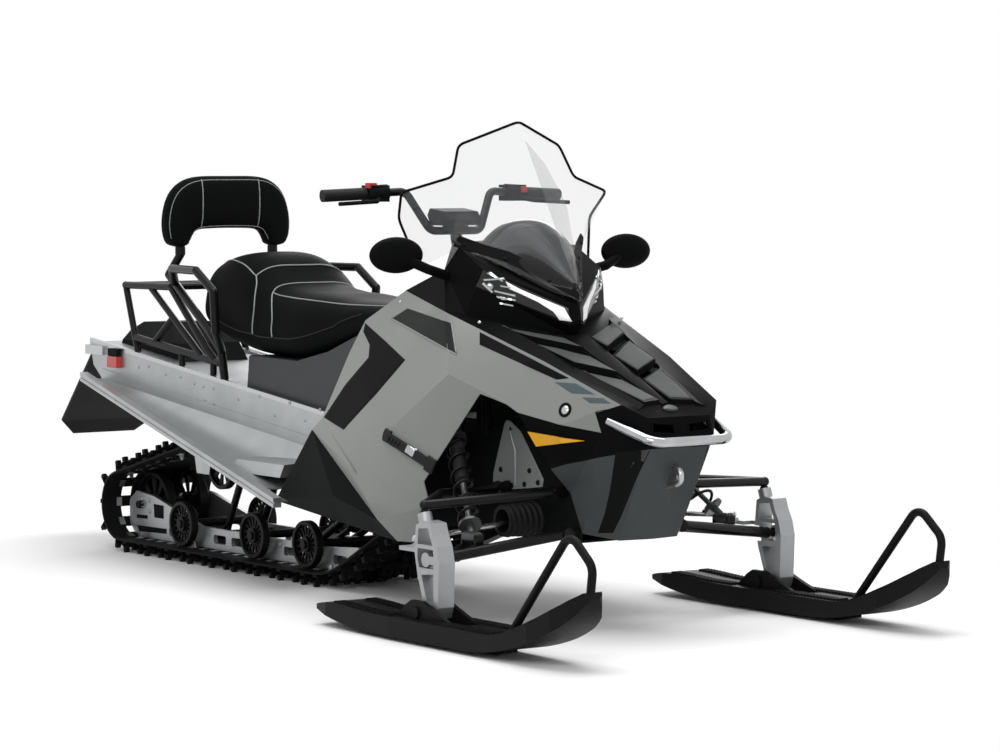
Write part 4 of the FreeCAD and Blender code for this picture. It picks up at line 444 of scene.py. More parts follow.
@dataclass
class Surface:
    """Points with quads and many-sided faces, joined, copied and turned as whole arrays.

    Attributes:
        points: Array of n by 3 coordinates in metres.
        quads: Array of k by 4 point numbers.
        caps: Faces with any number of corners.
    """

    points: np.ndarray
    quads: np.ndarray = field(default_factory=lambda: np.zeros((0, 4), int))
    caps: list[tuple[int, ...]] = field(default_factory=list)

    def join(self, *others: "Surface") -> "Surface":
        """Add surfaces to this one.

        Args:
            others: The surfaces that are added.

        Returns:
            One surface, with this one's points and faces first.
        """
        parts = (self, *others)
        starts = np.cumsum([0] + [len(part.points) for part in parts])
        caps = [tuple(i + int(start) for i in cap)
                for part, start in zip(parts, starts) for cap in part.caps]
        quads = np.concatenate([part.quads + start for part, start in zip(parts, starts)])
        return Surface(np.concatenate([part.points for part in parts]), quads, caps)

    def turned(self) -> "Surface":
        """Return this surface with its faces turned over."""
        return Surface(self.points, self.quads[:, ::-1], [cap[::-1] for cap in self.caps])

    def mirrored(self) -> "Surface":
        """Return the copy on the other side of the machine, with its faces turned outwards."""
        return Surface(self.points * np.array((1.0, -1.0, 1.0)), self.quads, self.caps).turned()

    def both_sides(self) -> "Surface":
        """Return this surface together with its mirror image."""
        return self.join(self.mirrored())

    def copies(self, origins: np.ndarray, axes: np.ndarray) -> "Surface":
        """Set a copy at each origin: a point's coordinates are measured along that copy's axes.

        Args:
            origins: Array of m by 3 places.
            axes: Array of m by 3 by 3, one row for each of the copy's own axes.

        Returns:
            All the copies as one surface.
        """
        count, size = len(origins), len(self.points)
        points = np.einsum("pk,mkj->mpj", self.points, axes) + origins[:, None, :]
        shift = (np.arange(count) * size)[:, None, None]
        caps = [tuple(i + k * size for i in cap) for k in range(count) for cap in self.caps]
        return Surface(points.reshape(-1, 3), (self.quads[None] + shift).reshape(-1, 4), caps)

    def thing(self, name: str, finish: Finish, body: str = "chassis", bevel: float = 0.0,
              angle: float = 35.0) -> bpy.types.Object:
        """Make the object, give it its finish and let it ride on a body.

        Args:
            name: Object name.
            finish: Its finish.
            body: The body that carries it.
            bevel: Width of the rounded edges in metres, or zero.
            angle: Edges sharper than this many degrees stay sharp.

        Returns:
            The object.
        """
        made = mesh_object(name, self.points, self.quads.tolist() + self.caps)
        made.data.materials.append(finish.material())
        if bevel:
            round_edges(made, bevel, 2, BEVEL_ANGLE)
        shade(made, angle)
        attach(made, body)
        return made


def joined(parts: list[Surface]) -> Surface:
    """Join a list of surfaces into one."""
    return parts[0].join(*parts[1:])


def metres(values: list | tuple) -> np.ndarray:
    """Turn millimetres into an array of metres."""
    return np.asarray(values, float) / 1000.0


def round_edges(made: bpy.types.Object, width: float, segments: int, angle: float) -> None:
    """Round the edges that are sharper than an angle.

    Args:
        made: The object.
        width: Width of the rounding in metres.
        segments: Faces across the rounding.
        angle: Smallest angle, in degrees, that is rounded.
    """
    rounding = made.modifiers.new("rounded_edges", "BEVEL")
    rounding.width = width
    rounding.segments = segments
    rounding.limit_method = "ANGLE"
    rounding.angle_limit = math.radians(angle)


def soften(cover: bpy.types.Object) -> None:
    """Round a cushion's cover by one subdivision."""
    softness = cover.modifiers.new("soft", "SUBSURF")
    softness.levels = softness.render_levels = 1


def shade(made: bpy.types.Object, angle: float) -> None:
    """Shade smooth, with the edges above an angle in degrees kept sharp."""
    made.data.polygons.foreach_set("use_smooth", np.ones(len(made.data.polygons), bool))
    made.data.set_sharp_from_angle(angle=math.radians(angle))


def unit(vectors: np.ndarray) -> np.ndarray:
    """Return the vectors divided by their lengths."""
    lengths = np.linalg.norm(vectors, axis=-1, keepdims=True)
    return vectors / np.maximum(lengths, 1e-12)


def grid(points: np.ndarray, closed: bool = False) -> Surface:
    """Surface over a grid of points: a quad between each four neighbours.

    Args:
        points: Array of rows by columns by 3.
        closed: Whether the last column joins the first.

    Returns:
        The surface.
    """
    rows, columns = points.shape[:2]
    number = np.arange(rows * columns).reshape(rows, columns)
    if closed:
        number = np.concatenate([number, number[:, :1]], axis=1)
    quads = np.stack([number[:-1, :-1], number[1:, :-1], number[1:, 1:], number[:-1, 1:]], axis=-1)
    return Surface(points.reshape(-1, 3), quads.reshape(-1, 4))


def skin_over(rings: np.ndarray) -> Surface:
    """Skin over closed rings that follow each other, with the first and the last ring filled.

    Args:
        rings: Array of rings by points of a ring by 3.

    Returns:
        The closed skin. Its faces look inwards where the rings run clockwise, seen along their path.
    """
    made = grid(rings, closed=True)
    count, sides = rings.shape[:2]
    last = (count - 1) * sides
    made.caps = [tuple(range(sides)), tuple(range(last + sides - 1, last - 1, -1))]
    return made


def shell(outer: np.ndarray, inner: np.ndarray) -> Surface:
    """Closed shell between two grids of points, with a wall along their common border.

    Args:
        outer: Array of rows by columns by 3.
        inner: Points of the other face, as many.

    Returns:
        The shell, with the outer grid's faces first.
    """
    rows, columns = outer.shape[:2]
    number = np.arange(rows * columns).reshape(rows, columns)
    border = np.concatenate([number[:-1, 0], number[-1, :-1], number[:0:-1, -1], number[0, :0:-1]])
    after, total = np.roll(border, -1), rows * columns
    sides = np.stack([border, after, after + total, border + total], axis=1)
    top, base = grid(outer), grid(inner)
    return Surface(np.concatenate([top.points, base.points]),
                   np.concatenate([top.quads, base.quads[:, ::-1] + total, sides[:, ::-1]]))


def frames_along(path: np.ndarray) -> tuple[np.ndarray, np.ndarray]:
    """Two directions square to a path at each of its points, turned as little as possible.

    Args:
        path: Array of n by 3.

    Returns:
        Both directions, each as an array of n by 3.
    """
    ahead = unit(np.gradient(path, axis=0))
    side = np.zeros_like(path)
    guess = np.array(UP) if abs(ahead[0, 2]) < 0.9 else np.array((1.0, 0.0, 0.0))
    for i, direction in enumerate(ahead):
        guess = unit(guess - direction * guess.dot(direction))
        side[i] = guess
    return side, np.cross(ahead, side)


def sweep(path: np.ndarray, section: np.ndarray) -> Surface:
    """A closed section carried along a path: point = path + side * a + up * b.

    Args:
        path: Array of n by 3.
        section: Array of m by 2, measured along the two square directions, anticlockwise.

    Returns:
        The surface, closed at both ends.
    """
    side, up = frames_along(path)
    rings = path[:, None] + side[:, None] * section[None, :, :1] + up[:, None] * section[None, :, 1:]
    return skin_over(rings).turned()


def circle(radius: float, sides: int) -> np.ndarray:
    """Points of a circle: radius times cosine and sine of evenly spaced angles."""
    angle = np.arange(sides) * (2 * np.pi / sides)
    return np.stack([np.cos(angle), np.sin(angle)], axis=1) * radius


def tube(path: np.ndarray | list, radius: float, sides: int = 8) -> Surface:
    """Round bar along a path."""
    return sweep(np.asarray(path, float), circle(radius, sides))


def rounded(points: np.ndarray, cut: float, steps: int) -> np.ndarray:
    """Path with its corners replaced by quadratic curves that start a cut length before them.

    Each curve is (1 - t) ** 2 * start + 2 * t * (1 - t) * corner + t ** 2 * end.

    Args:
        points: Array of n by 3.
        cut: Length taken from each side of a corner, at most 0.45 of that side.
        steps: Spans of each curve.

    Returns:
        Array of points by 3.
    """
    pieces = [points[:1]]
    share = np.linspace(0.0, 1.0, steps + 1)[:, None]
    for before, corner, after in zip(points, points[1:], points[2:]):
        start = corner + unit(before - corner) * min(cut, np.linalg.norm(before - corner) * 0.45)
        end = corner + unit(after - corner) * min(cut, np.linalg.norm(after - corner) * 0.45)
        pieces.append((1 - share) ** 2 * start + 2 * share * (1 - share) * corner + share ** 2 * end)
    return np.concatenate([*pieces, points[-1:]])


def lathe(profile: Outline | list[tuple[float, float]], start: Point | np.ndarray,
          axis: Point | np.ndarray, sides: int = 24) -> Surface:
    """Profile of (radius, distance) turned about an axis: start + axis * distance + radial * radius.

    Args:
        profile: Radius and distance along the axis, from one end to the other, in metres.
        start: Point that distances are measured from.
        axis: Direction of the axis.
        sides: Points round the axis.

    Returns:
        The surface, closed at both ends.
    """
    steps = np.asarray(profile, float)
    ahead = unit(np.asarray(axis, float))
    helper = np.array(UP) if abs(ahead[2]) < 0.9 else np.array((1.0, 0.0, 0.0))
    side = unit(helper - ahead * helper.dot(ahead))
    ring = circle(1.0, sides)
    radial = ring[:, :1] * side + ring[:, 1:] * np.cross(ahead, side)
    return skin_over(np.asarray(start, float) + ahead * steps[:, None, 1:2]
                     + radial[None] * np.maximum(steps[:, None, :1], 1e-5)).turned()


def slab(outline: np.ndarray | list, depth: Point | np.ndarray) -> Surface:
    """Flat outline thickened by one vector, with its faces outwards.

    Args:
        outline: Array of n by 3.
        depth: From the outline to its copy.

    Returns:
        The closed surface.
    """
    base = np.asarray(outline, float)
    made = skin_over(np.stack([base, base + np.asarray(depth, float)]))
    after = np.roll(base, -1, 0)
    normal = np.cross(after - base, np.roll(base, -2, 0) - after).sum(0)
    return made.turned() if normal.dot(depth) > 0 else made


def side_sheet(outline: Outline, y: float, thickness: float) -> Surface:
    """Upright sheet over an outline of x and z, at one distance from the middle, in millimetres."""
    return slab(metres([(x, y, z) for x, z in outline]), (0.0, thickness / 1000.0, 0.0))


def block(low: Point, high: Point) -> Surface:
    """Box between two corners."""
    (x0, y0, z0), (x1, y1, z1) = low, high
    return slab([(x0, y0, z0), (x1, y0, z0), (x1, y1, z0), (x0, y1, z0)], (0.0, 0.0, z1 - z0))


def screw_heads(places: np.ndarray, normals: np.ndarray | Point, radius: float, height: float,
                sides: int = 12) -> Surface:
    """Low domed heads set on a surface.

    Args:
        places: Array of n by 3.
        normals: Outward direction at each place, or one for all.
        radius: Radius of a head in metres.
        height: Height of its dome, and depth of its foot in the surface.
        sides: Points round a head.

    Returns:
        All the heads.
    """
    head = lathe([(radius, -height), (radius, height * 0.3), (radius * 0.8, height * 0.8),
                  (radius * 0.3, height)], (0, 0, 0), UP, sides)
    up = unit(np.broadcast_to(np.asarray(normals, float), places.shape))
    helper = np.where(np.abs(up[:, :1]) < 0.9, [[1.0, 0.0, 0.0]], [[0.0, 1.0, 0.0]])
    side = unit(np.cross(helper, up))
    return head.copies(places, np.stack([side, np.cross(up, side), up], axis=1))


def node_mesh(name: str) -> tuple[np.ndarray, np.ndarray]:
    """Mesh of a solid.

    Args:
        name: The solid's node.

    Returns:
        Points as an array of n by 3 and triangles' point numbers as an array of m by 3.
    """
    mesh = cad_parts[name].data
    points = np.empty(len(mesh.vertices) * 3)
    mesh.vertices.foreach_get("co", points)
    mesh.calc_loop_triangles()
    corners = np.empty(len(mesh.loop_triangles) * 3, int)
    mesh.loop_triangles.foreach_get("vertices", corners)
    return points.reshape(-1, 3), corners.reshape(-1, 3)


def triangles_of(*names: str) -> np.ndarray:
    """Triangles of solids as an array of m by 3 by 3."""
    return np.concatenate([points[corners] for points, corners in map(node_mesh, names)])


def dropped(points: np.ndarray, direction: Point, triangles: np.ndarray) -> np.ndarray:
    """Move points along one direction until they lie on the first triangle they meet.

    For each point and triangle the line's distance and its two shares along the triangle's sides
    are solved at once. A point that meets none is set on the triangle it misses by least.

    Args:
        points: Array with 3 as its last size.
        direction: The direction of travel; each point first steps back against it.
        triangles: Array of m by 3 by 3.

    Returns:
        The moved points, in the shape they came in.
    """
    ahead = unit(np.asarray(direction, float))
    start = points.reshape(-1, 3) - ahead * STEP_BACK
    first = triangles[:, 1] - triangles[:, 0]
    second = triangles[:, 2] - triangles[:, 0]
    square = np.cross(ahead, second)
    scale = (first * square).sum(1)
    keep = np.abs(scale) > 1e-9
    corner, first, second, square, scale = (a[keep] for a in (triangles[:, 0], first, second, square, scale))
    offset = start[:, None] - corner[None]
    along_first = (offset * square).sum(-1) / scale
    turned = np.cross(offset, first[None])
    along_second = turned @ ahead / scale
    distance = (turned * second[None]).sum(-1) / scale
    miss = np.maximum(np.maximum(-along_first, -along_second), along_first + along_second - 1.0)
    cost = np.where(miss < 1e-5, distance, 10.0 + np.maximum(miss, 0.0))
    best = cost.argmin(1)
    moved = start + ahead * distance[np.arange(len(best)), best][:, None]
    return moved.reshape(points.shape)


def resampled(line: np.ndarray | list | tuple, shares: np.ndarray) -> np.ndarray:
    """Points at shares of a line whose corners are evenly spaced in share.

    Args:
        line: Array of n by k.
        shares: Shares from zero to one.

    Returns:
        Array of shares by k.
    """
    corners = np.asarray(line, float)
    at = shares * (len(corners) - 1)
    return np.stack([np.interp(at, np.arange(len(corners)), corners[:, k])
                     for k in range(corners.shape[1])], axis=1)


def curve(points: np.ndarray | list | tuple, count: int) -> np.ndarray:
    """Smooth curve through points: on each span a cubic whose slopes are its neighbours' chords.

    Args:
        points: Array of n by k.
        count: Number of points on the curve.

    Returns:
        Array of count by k.
    """
    line = np.asarray(points, float)
    padded = np.concatenate([2 * line[:1] - line[1:2], line, 2 * line[-1:] - line[-2:-1]])
    spans = len(line) - 1
    at = np.linspace(0.0, spans, count)
    index = np.minimum(at.astype(int), spans - 1)
    t = (at - index)[:, None]
    a, b, c, d = (padded[index + k] for k in range(4))
    return b + 0.5 * t * (c - a + t * (2 * a - 5 * b + 4 * c - d + t * (3 * (b - c) + d - a)))


def squarish_oval(turn: np.ndarray, squareness: float) -> tuple[np.ndarray, np.ndarray]:
    """Cosine and sine of angles, each to the power 2 / squareness, with their signs kept.

    Args:
        turn: The angles.
        squareness: Two for a circle, more for a squarer oval.

    Returns:
        Shares across and upwards, each from minus one to one.
    """
    power = 2.0 / squareness
    across, up = np.cos(turn), np.sin(turn)
    return np.sign(across) * np.abs(across) ** power, np.sign(up) * np.abs(up) ** power


def ribbon(first: Line | list, last: Line | list, direction: Point, triangles: np.ndarray,
           height: float = 0.0010, far_height: float | None = None, steps: tuple[int, int] = (16, 6),
           edge: float = 0.02, sunk: float = 0.002) -> Surface:
    """Pad between two lines that follows the skin below it.

    The point at shares u and v lies between the lines' points at share u, at share v of the way.
    It is dropped on the skin, then moved outwards by a height that changes evenly from the first
    line to the last and is lower along the border. The pad is turned over if its top, taken as a
    whole, faces along the direction.

    Args:
        first: Corners of the first line in millimetres.
        last: Corners of the last line, as many as of the first and in the same sense.
        direction: Direction in which the points are dropped on the skin.
        triangles: The skin.
        height: Height of the first line above the skin, in metres.
        far_height: Height of the last line, or None for the same.
        steps: Cells along and across.
        edge: Share of each side that the rounded border takes.
        sunk: Depth of the pad's underside below the skin.

    Returns:
        The closed pad.
    """
    u = np.concatenate([[0.0], np.linspace(edge, 1.0 - edge, steps[0] - 1), [1.0]])
    v = np.concatenate([[0.0], np.linspace(edge, 1.0 - edge, steps[1] - 1), [1.0]])[None, :, None]
    near = resampled(first, u)[:, None] / 1000.0
    away = resampled(last, u)[:, None] / 1000.0
    flat = near * (1 - v) + away * v
    skin = dropped(flat, direction, triangles)
    out = unit(np.cross(np.gradient(skin, axis=0), np.gradient(skin, axis=1)))
    out = np.where((out @ unit(np.asarray(direction, float)) > 0)[..., None], -out, out)
    end = height if far_height is None else far_height
    u = u[:, None, None]
    border = np.where((u == 0) | (u == 1) | (v == 0) | (v == 1), 0.5, 1.0)
    made = shell(skin + out * (height * (1 - v) + end * v) * border, skin - out * sunk)
    corners = made.points[made.quads[:steps[0] * steps[1]]]
    facing = np.cross(corners[:, 2] - corners[:, 0], corners[:, 3] - corners[:, 1]).sum(0)
    return made.turned() if facing.dot(direction) > 0 else made


def laid(corners: Line | list | np.ndarray, direction: Point, triangles: np.ndarray,
         height: float = 0.0010, far_height: float | None = None, steps: tuple[int, int] = (16, 6),
         edge: float = 0.02) -> Surface:
    """Pad over four corners in a ring, from the first side to the opposite one."""
    first, second, third, fourth = corners
    return ribbon([first, second], [fourth, third], direction, triangles, height, far_height, steps, edge)


def polished_copy(name: str, node: str, finish: Finish, bevel: float, angle: float) -> bpy.types.Object:
    """Merged copy of a solid's mesh with flat areas joined, rounded edges and smooth shading.

    Args:
        name: Name of the new piece.
        node: Solid that it replaces.
        finish: Its finish.
        bevel: Width of the rounded edges in metres, or zero.
        angle: Edges above this many degrees are rounded; those below are shaded smooth.

    Returns:
        The piece.
    """
    points, corners = node_mesh(node)
    made = mesh_object(name, points, corners)
    shape = bmesh.new()
    shape.from_mesh(made.data)
    bmesh.ops.remove_doubles(shape, verts=shape.verts, dist=WELD)
    bmesh.ops.dissolve_limit(shape, angle_limit=math.radians(FLAT_ANGLE), verts=shape.verts,
                             edges=shape.edges)
    shape.to_mesh(made.data)
    shape.free()
    made.data.materials.append(finish.material())
    if bevel:
        round_edges(made, bevel, 3, angle)
    shade(made, angle + SHADING_MARGIN)
    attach(made, "chassis")
    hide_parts(node)
    return made


@dataclass
class SidePanels:
    """Grey side panels with their dark decals, vents, inlays, latches and bolts, in millimetres."""

    decal_front: Line = ((203, -227, 750), (355, -265, 710), (505, -302, 667), (428, -346, 571),
                         (301, -361, 474))
    decal_rear: Line = ((212, -239, 728), (286, -268, 696), (308, -286, 664), (229, -309, 587),
                        (156, -330, 497))
    rim_radius: float = 2.6
    vent: Line = ((411, -228, 798), (664, -265, 769), (738, -301, 691), (342, -235, 767))
    inlay: Line = ((759, -243, 748), (1067, -187, 643), (1030, -199, 638), (781, -259, 717))
    slate_inlays: tuple[Line, ...] = (
        ((1027, -203, 632), (1098, -190, 632), (1154, -170, 606), (1085, -192, 606)),
        ((1117, -185, 598), (1178, -162, 598), (1203, -159, 586), (1143, -181, 585)))
    strap: Line = ((566, -402, 490), (745, -380, 424), (741, -382, 400), (562, -402, 466))
    strap_ends: tuple[Line, ...] = (((560, 0, 496), (586, 0, 489), (580, 0, 458), (554, 0, 464)),
                                    ((728, 0, 436), (758, 0, 424), (752, 0, 388), (722, 0, 400)))
    rib: Line = ((588, 0, 478), (594, 0, 476), (590, 0, 460), (584, 0, 462))
    rib_step: Point = (12, 0, -4.4)
    ribs: int = 4
    clip: Line = ((655, 0, 461), (690, 0, 448), (684, 0, 424), (649, 0, 437))
    bolts: Line = ((1078, -208, 565), (352, -200, 812), (740, -250, 772))
    bolt_normals: Line = ((0.29, -0.91, 0.30), (-0.13, -0.90, 0.43), (0.32, -0.73, 0.61))
    collar: Outline = ((19, -2), (19, 1.2), (12, 1.6), (12, -2))

    def build(self) -> None:
        """Build both panels and all that lies on them."""
        for side in ("right", "left"):
            polished_copy("panel_" + side, "side_panel_" + side, GREY_PANEL, 0.0016, 24.0)
        skin = triangles_of("side_panel_right")
        decal = ribbon(self.decal_front, self.decal_rear, QUARTER_IN, skin, FILM, steps=(48, 10), edge=0.01)
        decal.both_sides().thing("panel_dark_decals", DECAL_AND_SHADE_FILM)
        vent = laid(self.vent, QUARTER_IN, skin, FILM, steps=(24, 8))
        vent.both_sides().thing("panel_vent_mesh", MESH_VENT)
        self._vent_rim(skin).both_sides().thing("panel_vent_rims", GREY_PANEL)
        inlay = laid(self.inlay, QUARTER_IN, skin, FILM, steps=(30, 5), edge=0.01)
        inlay.both_sides().thing("stripe_black_inlays", DECAL_AND_SHADE_FILM)
        slates = [laid(quad, QUARTER_IN, skin, FILM, steps=(8, 4)) for quad in self.slate_inlays]
        joined(slates).both_sides().thing("stripe_slate_inlays", SLATE_DECAL)
        self._latch(skin)
        self._bolts(skin)

    def _vent_rim(self, skin: np.ndarray) -> Surface:
        """Raised rim round the vent: a thin bar along its outline, dropped on the panel."""
        path = resampled(metres(self.vent + self.vent[:1]), np.linspace(0, 1, 49))
        return tube(dropped(path, QUARTER_IN, skin), self.rim_radius / 1000.0)

    def _latch(self, skin: np.ndarray) -> None:
        """Black rubber strap with its two feet and ribs, and the bright clip on it.

        Args:
            skin: Triangles of the panel.
        """
        strap = laid(self.strap, LEFTWARDS, skin, height=0.010, steps=(16, 4), edge=0.06)
        feet = [laid(quad, LEFTWARDS, skin, height=0.006, steps=(5, 5), edge=0.12)
                for quad in self.strap_ends]
        ribs = [laid(np.array(self.rib) + np.array(self.rib_step) * k, LEFTWARDS, skin, height=0.013,
                     steps=(3, 3), edge=0.2) for k in range(self.ribs)]
        strap.join(*feet, *ribs).both_sides().thing("panel_latch_straps", SOFT_RUBBER, bevel=0.001)
        clip = laid(self.clip, LEFTWARDS, skin, height=0.014, steps=(4, 4), edge=0.15)
        clip.both_sides().thing("panel_latch_clips", POLISHED, bevel=0.0015)

    def _bolts(self, skin: np.ndarray) -> None:
        """Large bolt in its dark collar near the nose, and two small screws.

        Args:
            skin: Triangles of the panel.
        """
        spots, normals = dropped(metres(self.bolts), LEFTWARDS, skin), np.array(self.bolt_normals)
        large = screw_heads(spots[:1], normals[:1], 0.011, 0.004, 20)
        small = screw_heads(spots[1:], normals[1:], 0.005, 0.003)
        large.join(small).both_sides().thing("panel_bolts", ZINC)
        lathe(metres(self.collar), spots[0], normals[0], 28).both_sides().thing("panel_bolt_collars", DARK)


@dataclass
class Hood:
    """Black hood with grey louvre faces and a bare badge base, in millimetres.

    The louvres are given by x and the distance from the middle.
    """

    louvres: tuple[Outline, ...] = (((766, 180), (853, 46), (924, 44), (849, 150)),
                                    ((881, 147), (959, 42), (1055, 39), (1009, 127)),
                                    ((1041, 123), (1088, 37), (1205, 24), (1222, 76)))
    badge: Point = (1237, 0, 600)
    badge_profile: Outline = ((22, -3), (22, 3), (18, 6), (6, 7))
    badge_squeeze: Point = (0.62, 1.0, 1.0)
    badge_axes: Line = ((0.90, 0, -0.43), (0, 1.0, 0), (0.43, 0, 0.90))

    def build(self) -> None:
        """Build the hood, the grey faces of its louvres and the bare badge base."""
        polished_copy("hood_shell", "hood", BLACK_GLOSS, 0.0010, 22.0)
        skin = triangles_of("hood")
        faces = [laid([(x, -y, 0) for x, y in ring], DOWN, skin, FILM, steps=(14, 14))
                 for ring in self.louvres]
        joined(faces).both_sides().thing("hood_louvre_faces", LOUVRE)
        spot = dropped(metres([self.badge]), DOWN, triangles_of("hood", "nose"))[0]
        cap = lathe(metres(self.badge_profile), (0, 0, 0), UP, 32)
        cap.points = (cap.points * self.badge_squeeze) @ np.array(self.badge_axes) + spot
        cap.thing("hood_bare_badge_base", SATIN)


@dataclass
class Nose:
    """Nose moulding with a film of painted shade in the recess of each flank, the rims of its openings and
    the tow hook, in millimetres.

    The plane between the black top and the grey lower part is given in metres.
    """

    opening: Line = ((1400, -23.66, 533), (1400, -87.52, 539), (1400, -91.64, 515), (1400, -22.63, 510))
    flank_rear: Line = ((1202, -144, 465), (1170, -137, 368), (1144, -133, 308), (1115, -133, 255))
    flank_front: Line = ((1272, -91, 471), (1233, -100, 403), (1171, -103, 298), (1144, -107, 256))
    eye: Point = (1267.0, 0.0, 399.84)
    bolt: Outline = ((9, -9), (9, -5.2), (5.5, -5.2), (5.5, 5.2), (9, 5.2), (9, 9))
    plate: Outline = ((1232, 430), (1271, 420), (1279, 410), (1279, 392), (1265, 384), (1222, 376))
    plate_y: float = -6.2
    plate_thickness: float = 0.8
    hook_line: Line = ((1235, 0, 432), (1272, 0, 421), (1281, 0, 410), (1281, 0, 391), (1266, 0, 382),
                       (1224, 0, 374))
    hook_radius: float = 7.5
    hook_corner: float = 6.0
    rim_radius: float = 2.2
    split_centre: Point = (1.201, 0.0, 0.458)
    split_normal: Point = (-0.215, 0.0, 0.977)

    def build(self) -> None:
        """Build the nose and what sits on it."""
        self._two_coloured(polished_copy("nose_shell", "nose", NOSE_GREY, 0.0012, 24.0))
        skin = triangles_of("nose")
        # Dark film down each flank: painted shade where the recess lies in shadow.
        band = ribbon(self.flank_rear, self.flank_front, QUARTER_IN, skin, height=0.0006, steps=(24, 6),
                      sunk=0.0003)
        band.both_sides().thing("nose_flank_painted_shade", DARK)
        line = resampled(metres(self.opening + self.opening[:1]), np.linspace(0, 1, 33))
        rim = tube(dropped(line, BACKWARDS, skin), self.rim_radius / 1000.0)
        rim.both_sides().thing("nose_opening_rims", BLACK_GLOSS)
        self._tow_hook()

    def _tow_hook(self) -> None:
        """Add the hook's bolt with its six-sided heads, the two cheek plates and the loop."""
        lathe(metres(self.bolt), metres(self.eye), LEFTWARDS, 6).thing("tow_hook_bolt", ZINC)
        cheek = side_sheet(self.plate, self.plate_y, self.plate_thickness)
        cheek.both_sides().thing("tow_hook_plates", ZINC)
        line = rounded(metres(self.hook_line), self.hook_corner / 1000.0, 4)
        tube(line, self.hook_radius / 1000.0, 12).thing("tow_hook_loop", ZINC)

    def _two_coloured(self, moulding: bpy.types.Object) -> None:
        """Cut the moulding's faces along a sloping plane and give the upper ones the black finish.

        Args:
            moulding: Copy of the nose.
        """
        centre, normal = np.array(self.split_centre), np.array(self.split_normal)
        shape = bmesh.new()
        shape.from_mesh(moulding.data)
        everything = shape.verts[:] + shape.edges[:] + shape.faces[:]
        bmesh.ops.bisect_plane(shape, geom=everything, plane_co=centre, plane_no=normal)
        shape.to_mesh(moulding.data)
        shape.free()
        moulding.data.materials.append(BLACK_GLOSS.material())
        middles = np.empty(len(moulding.data.polygons) * 3)
        moulding.data.polygons.foreach_get("center", middles)
        above = (middles.reshape(-1, 3) - centre) @ normal > 0
        moulding.data.polygons.foreach_set("material_index", above.astype(np.int32))
        shade(moulding, 32.0)


@dataclass
class Cowl:
    """Cowl with the headlights' strips and reflectors, the console and the footwells, in millimetres."""

    strip_top: Line = ((738, -147, 876), (765, -118, 855), (801, -77, 832), (838, -32, 808), (852, -17, 772))
    strip_foot: Line = ((745, -140, 856), (766, -116, 842), (795, -84, 822), (821, -54, 797), (832, -43, 776))
    slats: tuple[Line, ...] = (((721, -171, 853), (756, -129, 841), (757, -128, 835), (723, -169, 848)),
                               ((724, -166, 839), (757, -128, 829), (756, -128, 824), (724, -163, 833)),
                               ((700, -190, 881), (735, -150, 885), (738, -147, 880), (702, -188, 876)),
                               ((703, -190, 873), (720, -172, 849), (716, -175, 845), (700, -195, 868)),
                               ((704, -182, 896), (712, -174, 899), (734, -150, 876), (730, -152, 874)),
                               ((730, -158, 866), (748, -137, 861), (748, -137, 857), (731, -157, 861)),
                               ((728, -160, 822), (752, -132, 815), (752, -132, 811), (728, -159, 817)))
    bowl: Point = (712, -178, 862)
    bowl_profile: Outline = ((9, -2), (9, 2), (7, 3), (6, 0.8), (3, 1.2))
    inwards: Point = (-0.77, 0.63, -0.07)

    def build(self) -> None:
        """Build the cowl, console and footwells and dress the headlights."""
        polished_copy("cowl_shell", "cowl", BLACK_GLOSS, 0.0016, 24.0)
        polished_copy("headlight_lenses", "headlights", SMOKED, 0.0008, 24.0)
        polished_copy("console_covers", "console", DARK, 0.0012, 24.0)
        polished_copy("footwell_shells", "footwells", DARK, 0.0016, 20.0)
        skin = triangles_of("headlights", "cowl")
        strip = ribbon(self.strip_top, self.strip_foot, self.inwards, skin, height=0.0020, steps=(32, 6))
        strip.both_sides().thing("headlight_strips", WHITE_LAMP)
        slats = [laid(quad, self.inwards, skin, 0.002, 0.004, (5, 3), 0.1) for quad in self.slats]
        joined(slats).both_sides().thing("headlight_reflectors", POLISHED)
        spot = dropped(metres([self.bowl]), self.inwards, skin)[0]
        bowl = lathe(metres(self.bowl_profile), spot, -np.array(self.inwards))
        bowl.both_sides().thing("headlight_bowls", CHROME_DARK)


